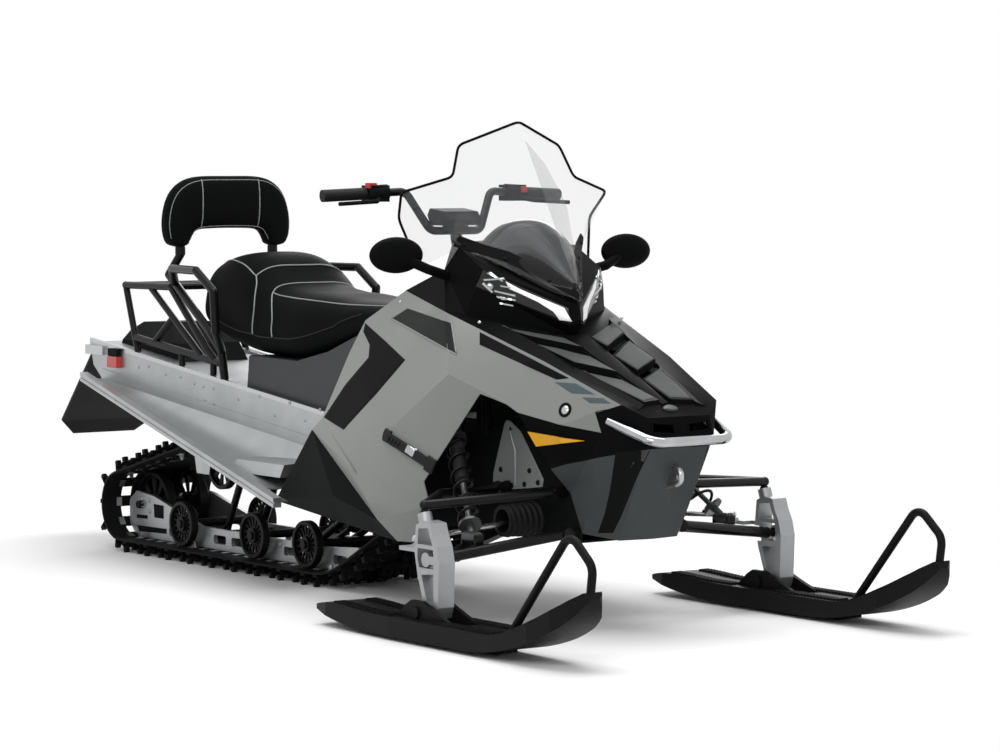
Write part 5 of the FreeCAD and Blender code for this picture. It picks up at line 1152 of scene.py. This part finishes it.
@dataclass
class Windshield:
    """Clear screen with its black edge moulding, in millimetres on the right side."""

    edge_line: Line = ((531, -276, 908), (490, -312, 1035), (536, -334, 1104), (572, -197, 1144),
                       (551, -164, 1227), (593, 0, 1289))
    trim_radius: float = 3.6
    trim_corner: float = 16.0
    foot_band: tuple[Line, Line] = (((588, -207, 958), (700, -120, 925), (868, -6, 830)),
                                    ((600, -196, 990), (712, -112, 962), (858, -4, 868)))
    # Both lines of a grey film that paints the reflection along the screen's crease.
    crease: tuple[Line, Line] = (((868, 0, 828), (772, 0, 992), (700, 0, 1112), (622, 0, 1240)),
                                 ((846, 22, 850), (758, 74, 985), (690, 88, 1090), (640, 52, 1190)))
    screws: Line = ((612, -190, 968), (700, -120, 934), (800, -52, 880))
    inwards: Point = (-0.62, 0.45, -0.64)
    outwards: Point = (0.6, -0.45, 0.64)

    def build(self) -> None:
        """Build the screen, its edge, the dark band at its foot, the painted reflection along its crease and
        its screws.
        """
        polished_copy("windshield_glass", "windshield", CLEAR, 0.0, 18.0)
        half = np.asarray(self.edge_line, float)
        line = np.concatenate([half, half[-2::-1] * (1, -1, 1)]) / 1000.0
        path = rounded(line, self.trim_corner / 1000.0, 6)
        tube(path, self.trim_radius / 1000.0, 10).thing("windshield_edge", BLACK_GLOSS)
        skin = triangles_of("windshield")
        band = ribbon(*self.foot_band, self.inwards, skin, height=0.0012, steps=(24, 4))
        band.both_sides().thing("windshield_foot_bands", DECAL_AND_SHADE_FILM)
        # Grey see-through film along the crease: a painted reflection.
        crease = ribbon(*self.crease, self.inwards, skin, height=0.0006, steps=(24, 4), sunk=0.0002)
        crease.thing("windshield_crease_painted_reflection", PAINTED_CREASE_REFLECTION)
        spots = dropped(metres(self.screws), self.inwards, skin)
        screw_heads(spots, self.outwards, 0.006, 0.004).both_sides().thing("windshield_screws", DARK)


@dataclass
class Seat:
    """Two-level seat cover over its foam, with light piping along the seams.

    Stations run from the rear to the front: x, height of the top, height of the bottom and half
    the width, in millimetres. Seams are given by the share along and the angle in degrees, and
    their beads stand away from the seat's middle line at the core's height.
    """

    stations: tuple[tuple[float, float, float, float], ...] = (
        (-797, 812, 778, 88), (-788, 858, 716, 132), (-762, 888, 694, 158), (-700, 912, 670, 168),
        (-630, 922, 652, 180), (-550, 919, 640, 192), (-490, 898, 632, 199), (-440, 862, 629, 202),
        (-390, 832, 627, 203), (-300, 821, 628, 203), (-200, 815, 630, 202), (-60, 803, 662, 184),
        (60, 797, 697, 164), (130, 794, 726, 148), (176, 784, 744, 128), (190, 770, 752, 104))
    seams: tuple[Outline, ...] = (
        ((0.10, 112), (0.16, 122), (0.25, 134), (0.33, 142), (0.39, 145), (0.410, 144)),
        ((0.410, 144), (0.436, 152), (0.456, 166), (0.473, 180), (0.480, 194)),
        ((0.410, 144), (0.413, 138), (0.415, 128)),
        ((0.583, 190), (0.575, 179), (0.552, 157.5), (0.524, 139), (0.513, 124), (0.516, 104)),
        ((0.524, 139), (0.60, 138), (0.72, 136), (0.86, 130)))
    step_seam: Outline = ((0.415, 128), (0.42, 105), (0.424, 90), (0.42, 75), (0.415, 52))
    front_seam: Outline = ((0.516, 104), (0.519, 90), (0.516, 76))
    edge: Outline = ((0.20, 196), (0.26, 199), (0.345, 201), (0.42, 197), (0.492, 193), (0.608, 191),
                     (0.677, 188), (0.718, 183), (0.76, 178), (0.80, 168))
    squareness: float = 3.4
    slope: float = 0.20
    slope_power: float = 1.4
    rings: int = 90
    sides: int = 96
    ripple: float = 1.6
    ripple_rate: float = 31.0
    core_height: float = 780.0
    bead_radius: float = 2.1
    bead_lift: float = 0.6

    def surface(self, along: np.ndarray, turn: np.ndarray) -> np.ndarray:
        """Points of the cover: a squarish oval round each station, narrower towards its top.

        Args:
            along: Shares from the rear to the front.
            turn: Angles round the section, zero at the left and a quarter turn at the top.

        Returns:
            Array of along by turn by 3, in metres.
        """
        x, high, low, half = resampled(curve(self.stations, 400), np.ravel(along)).T[:, :, None]
        across, up = squarish_oval(turn, self.squareness)
        taper = 1.0 - self.slope * np.clip(up * 0.5 + 0.5, 0, 1) ** self.slope_power
        z = (high + low) / 2 + (high - low) / 2 * up
        return np.stack([x + 0 * up, half * across * taper, z], axis=-1) / 1000.0

    def build(self) -> None:
        """Build the cover, its piping and the low rubber edge.

        The rings lie closer together at both ends, and the top has a shallow ripple.
        """
        along = 0.5 - 0.5 * np.cos(np.linspace(0.0, np.pi, self.rings))
        turn = np.linspace(0.0, 2 * np.pi, self.sides, endpoint=False)[None]
        points = self.surface(along, turn)
        top = np.sin(turn) * (np.sin(turn) > 0)
        points[..., 2] += self.ripple / 1000.0 * np.sin(points[..., 0] * self.ripple_rate) * top
        cover = skin_over(points).turned().thing("seat_cover", LEATHER, angle=80.0)
        soften(cover)
        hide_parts("seat")
        self._piping()

    def _seam(self, corners: Outline, count: int = 60) -> Surface:
        """Thin bead on the cover.

        Args:
            corners: Share along and angle in degrees of each corner.
            count: Number of points on the bead's curve.

        Returns:
            The bead.
        """
        line = curve(corners, count)
        flat = self.surface(line[:, 0], np.radians(line[:, 1:]))[:, 0]
        out = unit((flat - (0.0, 0.0, self.core_height / 1000.0)) * (0.0, 1.0, 1.0))
        return tube(flat + out * self.bead_lift / 1000.0, self.bead_radius / 1000.0)

    def _piping(self) -> None:
        """Light piping round both halves of the seat, and the rubber bead low on its sides."""
        both = joined([self._seam(line) for line in self.seams]).both_sides()
        self._seam(self.edge).both_sides().thing("seat_lower_edges", SOFT_RUBBER)
        across = self._seam(self.step_seam, 40), self._seam(self.front_seam, 20)
        both.join(*across).thing("seat_piping", PIPING)


@dataclass
class BackrestPad:
    """Arch-shaped cushion: a rounded band between an outer and an inner line, in millimetres."""

    outer: Outline = ((-172, 930), (-203, 950), (-214, 1005), (-202, 1070), (-170, 1115), (-112, 1139),
                      (0, 1142))
    inner: Outline = ((-142, 936), (-134, 950), (-124, 966), (-112, 978), (-92, 984), (-60, 986), (0, 987))
    front: float = -856.0
    depth: float = 66.0
    hollow: float = 6.0
    hollow_span: float = 200.0
    squareness: float = 2.9
    tip: float = 0.055
    tip_floor: float = 0.04
    tip_width: float = 0.35
    rings: int = 120
    sides: int = 56
    seam_y: float = 98.0
    seam_ends: tuple[float, float] = (990.0, 1131.0)
    groove_width: float = 5.0
    groove_depth: float = 4.0
    seam_radius: float = 1.9
    bead_angles: tuple[float, float] = (38.0, 150.0)
    bead_radius: float = 1.2
    collar: Outline = ((13.5, 0), (15, 4), (15, 22), (12.5, 36))
    collar_foot: Point = (-889, -160, 908)

    def surface(self, along: np.ndarray, turn: np.ndarray) -> np.ndarray:
        """Points of the cushion: an oval between both lines, drawn in towards the two tips.

        Args:
            along: Shares from the right tip to the left one.
            turn: Angles round the section, zero at the outer line.

        Returns:
            Array of along by turn by 3, in metres.
        """
        lines = []
        for half in (self.outer, self.inner):
            right = np.asarray(half, float)
            whole = np.concatenate([right, right[-2::-1] * (-1, 1)])
            lines.append(resampled(curve(whole, 300), np.ravel(along)))
        outer, inner = lines
        ending = np.minimum(np.ravel(along), 1 - np.ravel(along))
        near_tip = 1 - np.clip(ending / self.tip, 0, 1)
        close = np.sqrt(np.clip(1 - near_tip ** 2, self.tip_floor, 1))[:, None]
        across, ahead = squarish_oval(turn, self.squareness)
        middle = ((outer + inner) / 2)[:, None]
        width = self.tip_width + (1 - self.tip_width) * close
        reach = ((outer - inner) / 2)[:, None] * (across * width)[..., None]
        x = self.front - self.depth / 2 + self.depth / 2 * ahead * close
        x = x - self.hollow * (np.abs(middle[..., 0]) / self.hollow_span) ** 2
        flat = middle + reach
        return np.stack([x, flat[..., 0], flat[..., 1]], axis=-1) / 1000.0

    def build(self) -> None:
        """Build the cushion with its two upright grooves, its collars and its seams.

        A groove's depth falls off with the square of the distance from its seam, as a bell curve.
        """
        along = np.linspace(0.0, 1.0, self.rings)
        turn = np.linspace(0.0, 2 * np.pi, self.sides, endpoint=False)[None]
        points = self.surface(along, turn)
        offset = (np.abs(points[..., 1:2]) - self.seam_y / 1000.0) / (self.groove_width / 1000.0)
        in_front = (np.sin(turn) > 0.2)[..., None]
        points[..., 0:1] -= self.groove_depth / 1000.0 * np.exp(-offset ** 2) * in_front
        made = skin_over(points).turned()
        cushion = made.thing("backrest_cushion", LEATHER, angle=80.0)
        soften(cushion)
        collar = lathe(metres(self.collar), metres(self.collar_foot), UP)
        collar.both_sides().thing("backrest_collars", SOFT_RUBBER)
        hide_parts("backrest_pad")
        self._seams(made.points[np.concatenate([made.quads[:, :3], made.quads[:, [0, 2, 3]]])])

    def _seams(self, skin: np.ndarray) -> None:
        """Light upright seams dropped on the front face, and two beads along the whole cushion.

        Args:
            skin: Triangles of the cushion.
        """
        beads = []
        for y in (-self.seam_y, self.seam_y):
            line = resampled(metres([(-800, y, z) for z in self.seam_ends]), np.linspace(0, 1, 40))
            beads.append(tube(dropped(line, BACKWARDS, skin) + (0.0004, 0, 0), self.seam_radius / 1000.0))
        along = np.linspace(0.10, 0.90, 120)
        for degrees in self.bead_angles:
            line = self.surface(along, np.radians([[degrees]]))[:, 0]
            beads.append(tube(line + (0.0002, 0, 0), self.bead_radius / 1000.0))
        joined(beads).thing("backrest_piping", PIPING)


@dataclass
class Skirts:
    """Slate cover of the tank with its skirts below the seat, rounded by a bevel in metres."""

    bevel: float = 0.003

    def build(self) -> None:
        """Round the edges of the tank's cover."""
        polished_copy("tank_cover", "fuel_tank", SLATE, self.bevel, 24.0)


@dataclass
class DashDome:
    """Glossy dome over the instruments behind the screen, in millimetres.

    Stations run forwards: x, half the width, height of the crown and height of the foot.
    """

    stations: tuple[tuple[float, float, float, float], ...] = (
        (590, 146, 1010, 925), (606, 150, 1030, 925), (650, 142, 1030, 925), (700, 120, 1000, 905),
        (750, 90, 956, 880), (800, 55, 908, 855), (846, 14, 868, 840))
    crown_power: float = 0.92
    flank_cut: float = 0.10
    rows: int = 48
    columns: int = 49
    wall: float = 5.0
    narrower: float = 0.965
    gauge: Line = ((604, -85, 955), (604, 85, 955), (618, 75, 995), (618, -75, 995))
    gauge_depth: Point = (4, 0, -1)

    def surface(self, along: np.ndarray, turn: np.ndarray) -> np.ndarray:
        """Points of the dome: half an oval over each station, flatter on its two flanks.

        Args:
            along: Shares from the rear to the front.
            turn: Angles from the left foot over the crown to the right one.

        Returns:
            Array of along by turn by 3, in metres.
        """
        x, half, crown, foot = resampled(curve(self.stations, 200), along).T[:, :, None]
        lift = np.sin(turn) ** self.crown_power
        y = half * np.cos(turn) * (1.0 - self.flank_cut * np.sin(2 * turn) ** 2)
        return np.stack([x + 0 * y, y, foot + (crown - foot) * lift + 0 * y], axis=-1) / 1000.0

    def build(self) -> None:
        """Build the dome with its thickness and the gauge below its rear rim."""
        along = np.linspace(0.0, 1.0, self.rows)
        turn = np.linspace(0.0, np.pi, self.columns)[None]
        outer = self.surface(along, turn)
        inner = outer * (1.0, self.narrower, 1.0) - (0.0, 0.0, self.wall / 1000.0)
        shell(outer, inner).turned().thing("dash_dome", GLOSS_DOME, angle=50.0)
        slab(metres(self.gauge), metres(self.gauge_depth)).thing("gauge_face", SMOKED, bevel=0.001)


@dataclass
class FrontEnd:
    """Inner fairings, foot panels, bolted plates beside the dampers and the dampers' sleeves.

    Outlines are given by x and z in millimetres, and each lies at one distance from the middle.
    """

    fairing: Outline = ((600, 470), (600, 640), (700, 700), (860, 690), (1010, 630), (1120, 575),
                        (1050, 470), (900, 430), (700, 420))
    fairing_y: float = -141.0
    fairing_thickness: float = 3.0
    foot_panel: Outline = ((-90, 372), (240, 470), (300, 440), (300, 262), (120, 262))
    foot_panel_y: float = -207.5
    foot_panel_thickness: float = 2.5
    plate: Outline = ((742, 508), (752, 518), (770, 516), (814, 491), (911, 376), (906, 356), (841, 348),
                      (703, 332), (690, 352), (693, 378))
    plate_rib: Outline = ((760, 505), (790, 440), (790, 352))
    plate_bolts: Outline = ((727, 388), (853, 394), (776, 350), (831, 357), (890, 366), (716, 352))
    plate_y: float = -153.5
    plate_thickness: float = 3.5
    rib_radius: float = 3.0
    damper_top: Point = (645.0, -256.0, 540.0)
    damper_foot: Point = (955.0, -405.0, 248.0)
    sleeve_radius: float = 16.5
    sleeve_start: float = 118.0
    ridges: int = 40
    ridge_height: float = 2.0
    ridge_pitch: float = 3.5
    sleeve_ends: Outline = ((8, 115), (8, 262))
    bare_foot: float = 55.0

    def build(self) -> None:
        """Build the pieces of both sides."""
        fairing = side_sheet(self.fairing, self.fairing_y, self.fairing_thickness)
        fairing.both_sides().thing("inner_fairings", DARK)
        foot_panel = side_sheet(self.foot_panel, self.foot_panel_y, self.foot_panel_thickness)
        foot_panel.both_sides().thing("foot_panels", DARK)
        plate = side_sheet(self.plate, self.plate_y, self.plate_thickness)
        rib = tube(metres([(x, self.plate_y, z) for x, z in self.plate_rib]), self.rib_radius / 1000.0)
        plate.join(rib).both_sides().thing("damper_plates", LIGHT_PLATE, bevel=0.0008)
        spots = metres([(x, self.plate_y, z) for x, z in self.plate_bolts])
        heads = screw_heads(spots, RIGHTWARDS, 0.0075, 0.004)
        heads.both_sides().thing("damper_plate_bolts", BLACK_PAINT)
        self._sleeves()

    def _sleeves(self) -> None:
        """Ribbed sleeves round the dampers' rods, thinner than the inside of the springs."""
        top, foot = metres(self.damper_top), metres(self.damper_foot)
        length = np.linalg.norm(foot - top) * 1000.0
        ridges = [(self.sleeve_radius + self.ridge_height * (k % 2), self.sleeve_start + self.ridge_pitch * k)
                  for k in range(self.ridges)]
        profile = [self.sleeve_ends[0], *ridges, self.sleeve_ends[1]]
        kept = metres([(radius, at) for radius, at in profile if at < length - self.bare_foot])
        lathe(kept, top, foot - top, 20).both_sides().thing("damper_sleeves", SOFT_RUBBER)


@dataclass
class Tail:
    """Rivets of the tunnel and the dark blocks above the side lights, in millimetres."""

    rivets: Outline = ((-1066, 570), (-1007, 575), (-908, 556), (-819, 553), (-740, 538), (-690, 531),
                       (-633, 528), (-816, 500), (-680, 493), (-632, 485), (-761, 475), (-496, 505),
                       (-380, 520), (-300, 470), (-220, 510), (-140, 465), (-60, 500), (-560, 455))
    rivets_y: float = -202.0
    light_block: tuple[Point, Point] = ((-1232, -216, 596.5), (-1176, -200, 620))

    def build(self) -> None:
        """Add the rivets and the blocks."""
        spots = dropped(metres([(x, self.rivets_y, z) for x, z in self.rivets]), LEFTWARDS,
                        triangles_of("tunnel"))
        screw_heads(spots, RIGHTWARDS, 0.0050, 0.0022).both_sides().thing("tunnel_rivets", CAST)
        block(*metres(self.light_block)).both_sides().thing("side_light_blocks", DARK, bevel=0.002)


@dataclass
class Controls:
    """Red switches on both ends of the handlebar, each between two corners in millimetres."""

    right_switch: tuple[Point, Point] = ((256, -262, 1112), (276, -236, 1127.5))
    left_switch: tuple[Point, Point] = ((262, 236, 1100), (282, 256, 1116))

    def build(self) -> None:
        """Build the switches, which turn with the bar."""
        switches = [block(*metres(corners)) for corners in (self.right_switch, self.left_switch)]
        joined(switches).thing("bar_switches", RED_SWITCH, "handlebar", bevel=0.0015)


@dataclass
class Track:
    """Rubber belt with windows, fingered lugs and metal guide clips, in millimetres.

    The belt's inner face touches the circles, each given by its centre's x and z and its radius.
    """

    circles: Line = ((-135, 370, 330), (250, 298, 88), (-695, 300, 75), (-1215, 140, 100))
    pitches: int = 57
    cells: int = 4
    half_width: float = 190.5
    thickness: float = 6.0
    windows: tuple[float, float] = (0.47, 0.66)
    rows: tuple[Outline, Outline] = (((-0.98, -0.62), (-0.27, 0.27), (0.62, 0.98)),
                                     ((-0.92, -0.50), (-0.12, 0.12), (0.50, 0.92)))
    bar_height: float = 17.0
    bar_widths: tuple[float, float] = (24.0, 17.0)
    lug_height: float = 34.0
    finger_foot: float = 8.0
    finger_notch: float = 5.0
    finger_width: float = 14.0
    finger_pitch: float = 20.0
    finger_widths: tuple[float, float] = (19.0, 12.0)
    clip_length: float = 18.0
    clip_offset: float = 6.0
    clip_depth: float = 2.0
    clip_widths: tuple[float, float] = (26.0, 24.0)
    guide_length: float = 4.0
    guide_offset: float = 4.0
    guide_depth: float = 19.0
    guide_widths: tuple[float, float] = (8.0, 30.0)
    clip_root: float = 0.5

    def path(self, count: int) -> tuple[np.ndarray, np.ndarray]:
        """Points evenly spaced round the belt's inner face, and the outward direction at each.

        Between two circles the belt runs along their common outer tangent, whose direction leans
        by the difference of the radii over the distance between the centres.

        Args:
            count: Number of points.

        Returns:
            Points and directions, each as an array of count by 2, of x and z.
        """
        rings = np.asarray(self.circles, float)
        centres, radii = rings[:, :2], rings[:, 2]
        step = np.roll(centres, -1, 0) - centres
        length = np.linalg.norm(step, axis=1, keepdims=True)
        ahead = step / length
        lean = (radii - np.roll(radii, -1))[:, None] / length
        out = ahead * lean + np.stack([ahead[:, 1], -ahead[:, 0]], axis=1) * np.sqrt(1 - lean ** 2)
        leave = np.arctan2(out[:, 1], out[:, 0])
        arrive = np.roll(leave, 1)
        angle = arrive[:, None] + ((leave - arrive) % (2 * np.pi))[:, None] * np.linspace(0, 1, 80)
        arcs = centres[:, None] + radii[:, None, None] * np.stack([np.cos(angle), np.sin(angle)], -1)
        line = np.concatenate([arcs.reshape(-1, 2), arcs[0, :1]])
        along = np.concatenate([[0.0], np.cumsum(np.linalg.norm(np.diff(line, axis=0), axis=1))])
        at = np.arange(count) * along[-1] / count
        points = np.stack([np.interp(at, along, line[:, k]) for k in range(2)], axis=1)
        ahead = unit(np.roll(points, -1, 0) - np.roll(points, 1, 0))
        return points, np.stack([ahead[:, 1], -ahead[:, 0]], axis=1)

    def build(self) -> None:
        """Build the belt with its lugs, and the clips on it."""
        belt = self._belt().join(*self._lugs())
        made = belt.thing("track_belt", TRACK_RUBBER, angle=30.0)
        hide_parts("track")
        clips, fins = self._clips()
        clips.thing("track_clips", CLIP)
        fins.thing("track_guide_clips", CLIP)

    def _belt(self) -> Surface:
        """Belt as two layers of cells with walls round every window and along both edges.

        Returns:
            The closed belt.
        """
        cells = self.cells
        points, out = self.path(self.pitches * cells)
        near, far = self.windows
        across = np.array([-1.0, -far, -near, near, far, 1.0]) * self.half_width
        rows, columns = len(points), len(across)
        solid = np.ones((rows, columns - 1), bool)
        solid[np.ix_(np.arange(rows) % cells >= 2, (1, 3))] = False
        number = np.arange(rows * columns).reshape(rows, columns)
        after = np.roll(number, -1, 0)
        corners = np.stack([number[:, :-1], after[:, :-1], after[:, 1:], number[:, 1:]], axis=-1)
        framed = np.pad(solid, ((0, 0), (1, 1)))
        total = rows * columns
        beside = (framed[:, :-2], np.roll(solid, -1, 0), framed[:, 2:], np.roll(solid, 1, 0))
        quads = [corners[solid], corners[solid][:, ::-1] + total]
        for k, neighbour in enumerate(beside):
            edge = corners[solid & ~neighbour]
            first, last = edge[:, k], edge[:, (k + 1) % 4]
            quads.append(np.stack([last, first, first + total, last + total], axis=1))
        layers = [np.stack(np.broadcast_arrays(level[:, :1], across[None], level[:, 1:]), axis=-1)
                  for level in (points, points + out * self.thickness)]
        return Surface(np.concatenate(layers).reshape(-1, 3) / 1000.0, np.concatenate(quads))

    def _set_on(self, template: Surface, first: int, step: int) -> Surface:
        """Copy a piece along the belt's inner face, with its axes along, across and outwards.

        Args:
            template: The piece.
            first: Cell of the first copy.
            step: Cells from one copy to the next.

        Returns:
            All the copies.
        """
        places, out = (values[first::step] for values in self.path(self.pitches * self.cells))
        nothing = np.zeros(len(out))
        outwards = np.stack([out[:, 0], nothing, out[:, 1]], axis=1)
        across = np.repeat([LEFTWARDS], len(out), 0)
        axes = np.stack([np.cross(across, outwards), across, outwards], axis=1)
        return template.copies(np.stack([places[:, 0], nothing, places[:, 1]], axis=1) / 1000.0, axes)

    @staticmethod
    def _bar(start: float, width: float, low: float, high: float, widths: tuple[float, float]) -> Surface:
        """Tapered bar across the belt, whose section is a trapezium.

        Args:
            start: Lower end across the belt.
            width: Length across the belt.
            low: Height of the foot.
            high: Height of the top.
            widths: Widths of the foot and the top along the belt.

        Returns:
            The bar.
        """
        foot, tip = (share / 2 for share in widths)
        outline = [(-foot, start, low), (foot, start, low), (tip, start, high), (-tip, start, high)]
        return slab(metres(outline), (0.0, width / 1000.0, 0.0))

    def _lugs(self) -> list[Surface]:
        """Lugs of both kinds of rows: low bars with upright fingers on them, in turn high and low.

        Returns:
            All the rows of the first kind, and all those of the second.
        """
        face, width = self.thickness, self.finger_width
        made = []
        for kind, row in enumerate(self.rows):
            template = []
            for first, last in row:
                start, end = first * self.half_width, last * self.half_width
                template.append(self._bar(start, end - start, face - 1, face + self.bar_height,
                                          self.bar_widths))
                fingers = max(int((end - start) / self.finger_pitch), 2)
                template += [self._bar(at, width, face + self.finger_foot,
                                       face + self.lug_height - self.finger_notch * (k % 2),
                                       self.finger_widths)
                             for k, at in enumerate(np.linspace(start, end - width, fingers))]
            made.append(self._set_on(joined(template), 1 + self.cells * kind, 2 * self.cells))
        return made

    def _clips(self) -> tuple[Surface, Surface]:
        """Flat clips on the bars beside the windows, and taller guide clips on every fifth bar.

        Returns:
            The flat clips and the guide clips.
        """
        near, far = (share * self.half_width for share in self.windows)
        flat = [self._bar(side * middle - self.clip_length / 2, self.clip_length, -self.clip_depth,
                          self.clip_root, self.clip_widths)
                for side in (-1, 1) for middle in (near - self.clip_offset, far + self.clip_offset)]
        guides = [self._bar(side * (far + self.guide_offset) - self.guide_length / 2, self.guide_length,
                            -self.guide_depth, self.clip_root, self.guide_widths) for side in (-1, 1)]
        return (self._set_on(joined(flat), 1, self.cells),
                self._set_on(joined(guides), 1, 5 * self.cells))


@dataclass
class Skis:
    """Tread rows on both skis, in millimetres."""

    middle: float = 547.0
    offsets: tuple[float, float] = (-48.0, 48.0)
    rows: Outline = ((640.0, 900.0), (1075.0, 1330.0))
    pitch: float = 13.0
    tooth: Outline = ((-4.5, -2), (4.5, -2), (1.2, 6.2), (-1.2, 6.2))
    tooth_width: float = 34.0

    def build(self) -> None:
        """Add the tread to each ski."""
        for side, name in ((-1.0, "ski_right"), (1.0, "ski_left")):
            tread = self._tread(side * self.middle, triangles_of(name))
            tread.thing(name.replace("ski_", "ski_tread_"), SKI, name)

    def _tread(self, middle: float, skin: np.ndarray) -> Surface:
        """Rows of small wedges across the footing of a ski, set on its upper face.

        Args:
            middle: Distance of the ski's middle line from the machine's.
            skin: Triangles of the ski.

        Returns:
            All the wedges.
        """
        tooth = side_sheet(self.tooth, -self.tooth_width / 2, self.tooth_width)
        places = [(x, middle + offset, 300.0) for start, end in self.rows for offset in self.offsets
                  for x in np.arange(start, end, self.pitch)]
        origins = dropped(metres(places), DOWN, skin)
        return tooth.copies(origins, np.repeat(np.eye(3)[None], len(origins), 0))


@dataclass
class Rails:
    """Black films of painted shade in the rails' openings, the bolts and the axle's nut on the slide rails,
    as x and z in millimetres.
    """

    openings: tuple[Outline, ...] = (((-1142, 147), (-1082, 146), (-1082, 106), (-1138, 106)),
                                     ((-1245, 107), (-1180, 109), (-1180, 98), (-1245, 96)),
                                     ((-1242, 74), (-1065, 77), (-1065, 62), (-1230, 56)),
                                     ((-1000, 100), (-940, 98), (-940, 86), (-1000, 87)))
    bolts: Outline = ((-1165, 123), (-1169, 155), (-1213, 157), (-1040, 120), (-905, 90), (-600, 88),
                      (-420, 88), (-250, 90))
    bolts_y: float = -110.0
    nut: Outline = ((13, -2), (13, 7), (10, 9))
    nut_foot: Point = (-1215, -109, 140)

    def build(self) -> None:
        """Build the pieces on both outer faces."""
        skin = triangles_of("slide_rails")
        # Black films over the rails' openings paint the shade inside them.
        pads = [laid([(x, -300, z) for x, z in ring], LEFTWARDS, skin, steps=(4, 4))
                for ring in self.openings]
        joined(pads).both_sides().thing("rail_openings_painted_shade", DECAL_AND_SHADE_FILM)
        spots = metres([(x, self.bolts_y, z) for x, z in self.bolts])
        nut = lathe(metres(self.nut), metres(self.nut_foot), RIGHTWARDS, 6)
        screw_heads(spots, RIGHTWARDS, 0.007, 0.003).join(nut).both_sides().thing("rail_bolts", CAST)


@dataclass
class CadDress:
    """Finishes of the solids, also of those that a dressed copy replaces."""

    finishes: dict[str, Finish] = field(default_factory=lambda: {
        "tunnel": SHEET, "running_board_right": SHEET, "running_board_left": SHEET,
        "edge_rails": BRIGHT, "track": TRACK_RUBBER, "slide_rails": RAIL, "skid_wheels": WHEEL,
        "skid_arms": BLACK_PAINT, "drive_axle": WHEEL, "bulkhead": DARK, "engine": DARK,
        "front_arms": BLACK_PAINT, "shocks": DAMPER, "shock_springs": BLACK_PAINT,
        "spindle_right": CAST, "spindle_left": CAST, "tie_rod_right": ZINC, "tie_rod_left": ZINC,
        "ski_right": SKI, "ski_left": SKI, "boots": SOFT_RUBBER, "handlebar": BLACK_PAINT,
        "grips": SOFT_RUBBER, "bar_controls": DARK, "side_panel_right": GREY_PANEL,
        "side_panel_left": GREY_PANEL, "footwells": DARK, "hood": BLACK_GLOSS, "cowl": BLACK_GLOSS,
        "headlights": LENS, "console": DARK, "nose": DARK, "windshield": CLEAR, "mirrors": BLACK_GLOSS,
        "front_bumper": POLISHED, "reflectors": AMBER, "seat": LEATHER, "fuel_tank": SLATE,
        "cargo_rack": BLACK_PAINT, "backrest_frame": BLACK_PAINT, "backrest_pad": LEATHER,
        "tail_light": DARK, "side_lights": RED, "rear_bumper": BRIGHT, "snow_flap": SOFT_RUBBER})

    def build(self) -> None:
        """Give each solid its finish."""
        for name, finish in self.finishes.items():
            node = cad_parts[name]
            node.data.materials.clear()
            node.data.materials.append(finish.material())


def main() -> None:
    """Build every sub-assembly in order and report each one."""
    logging.basicConfig(level=logging.INFO, format="%(message)s")
    for part in (Studio(), CadDress(), SidePanels(), Hood(), Nose(), Cowl(), Windshield(), Seat(),
                 BackrestPad(), Skirts(), Track(), Rails(), Skis(), DashDome(), FrontEnd(), Tail(),
                 Controls()):
        part.build()
        LOG.info("built %s", type(part).__name__)


if __name__ == "__main__":
    main()
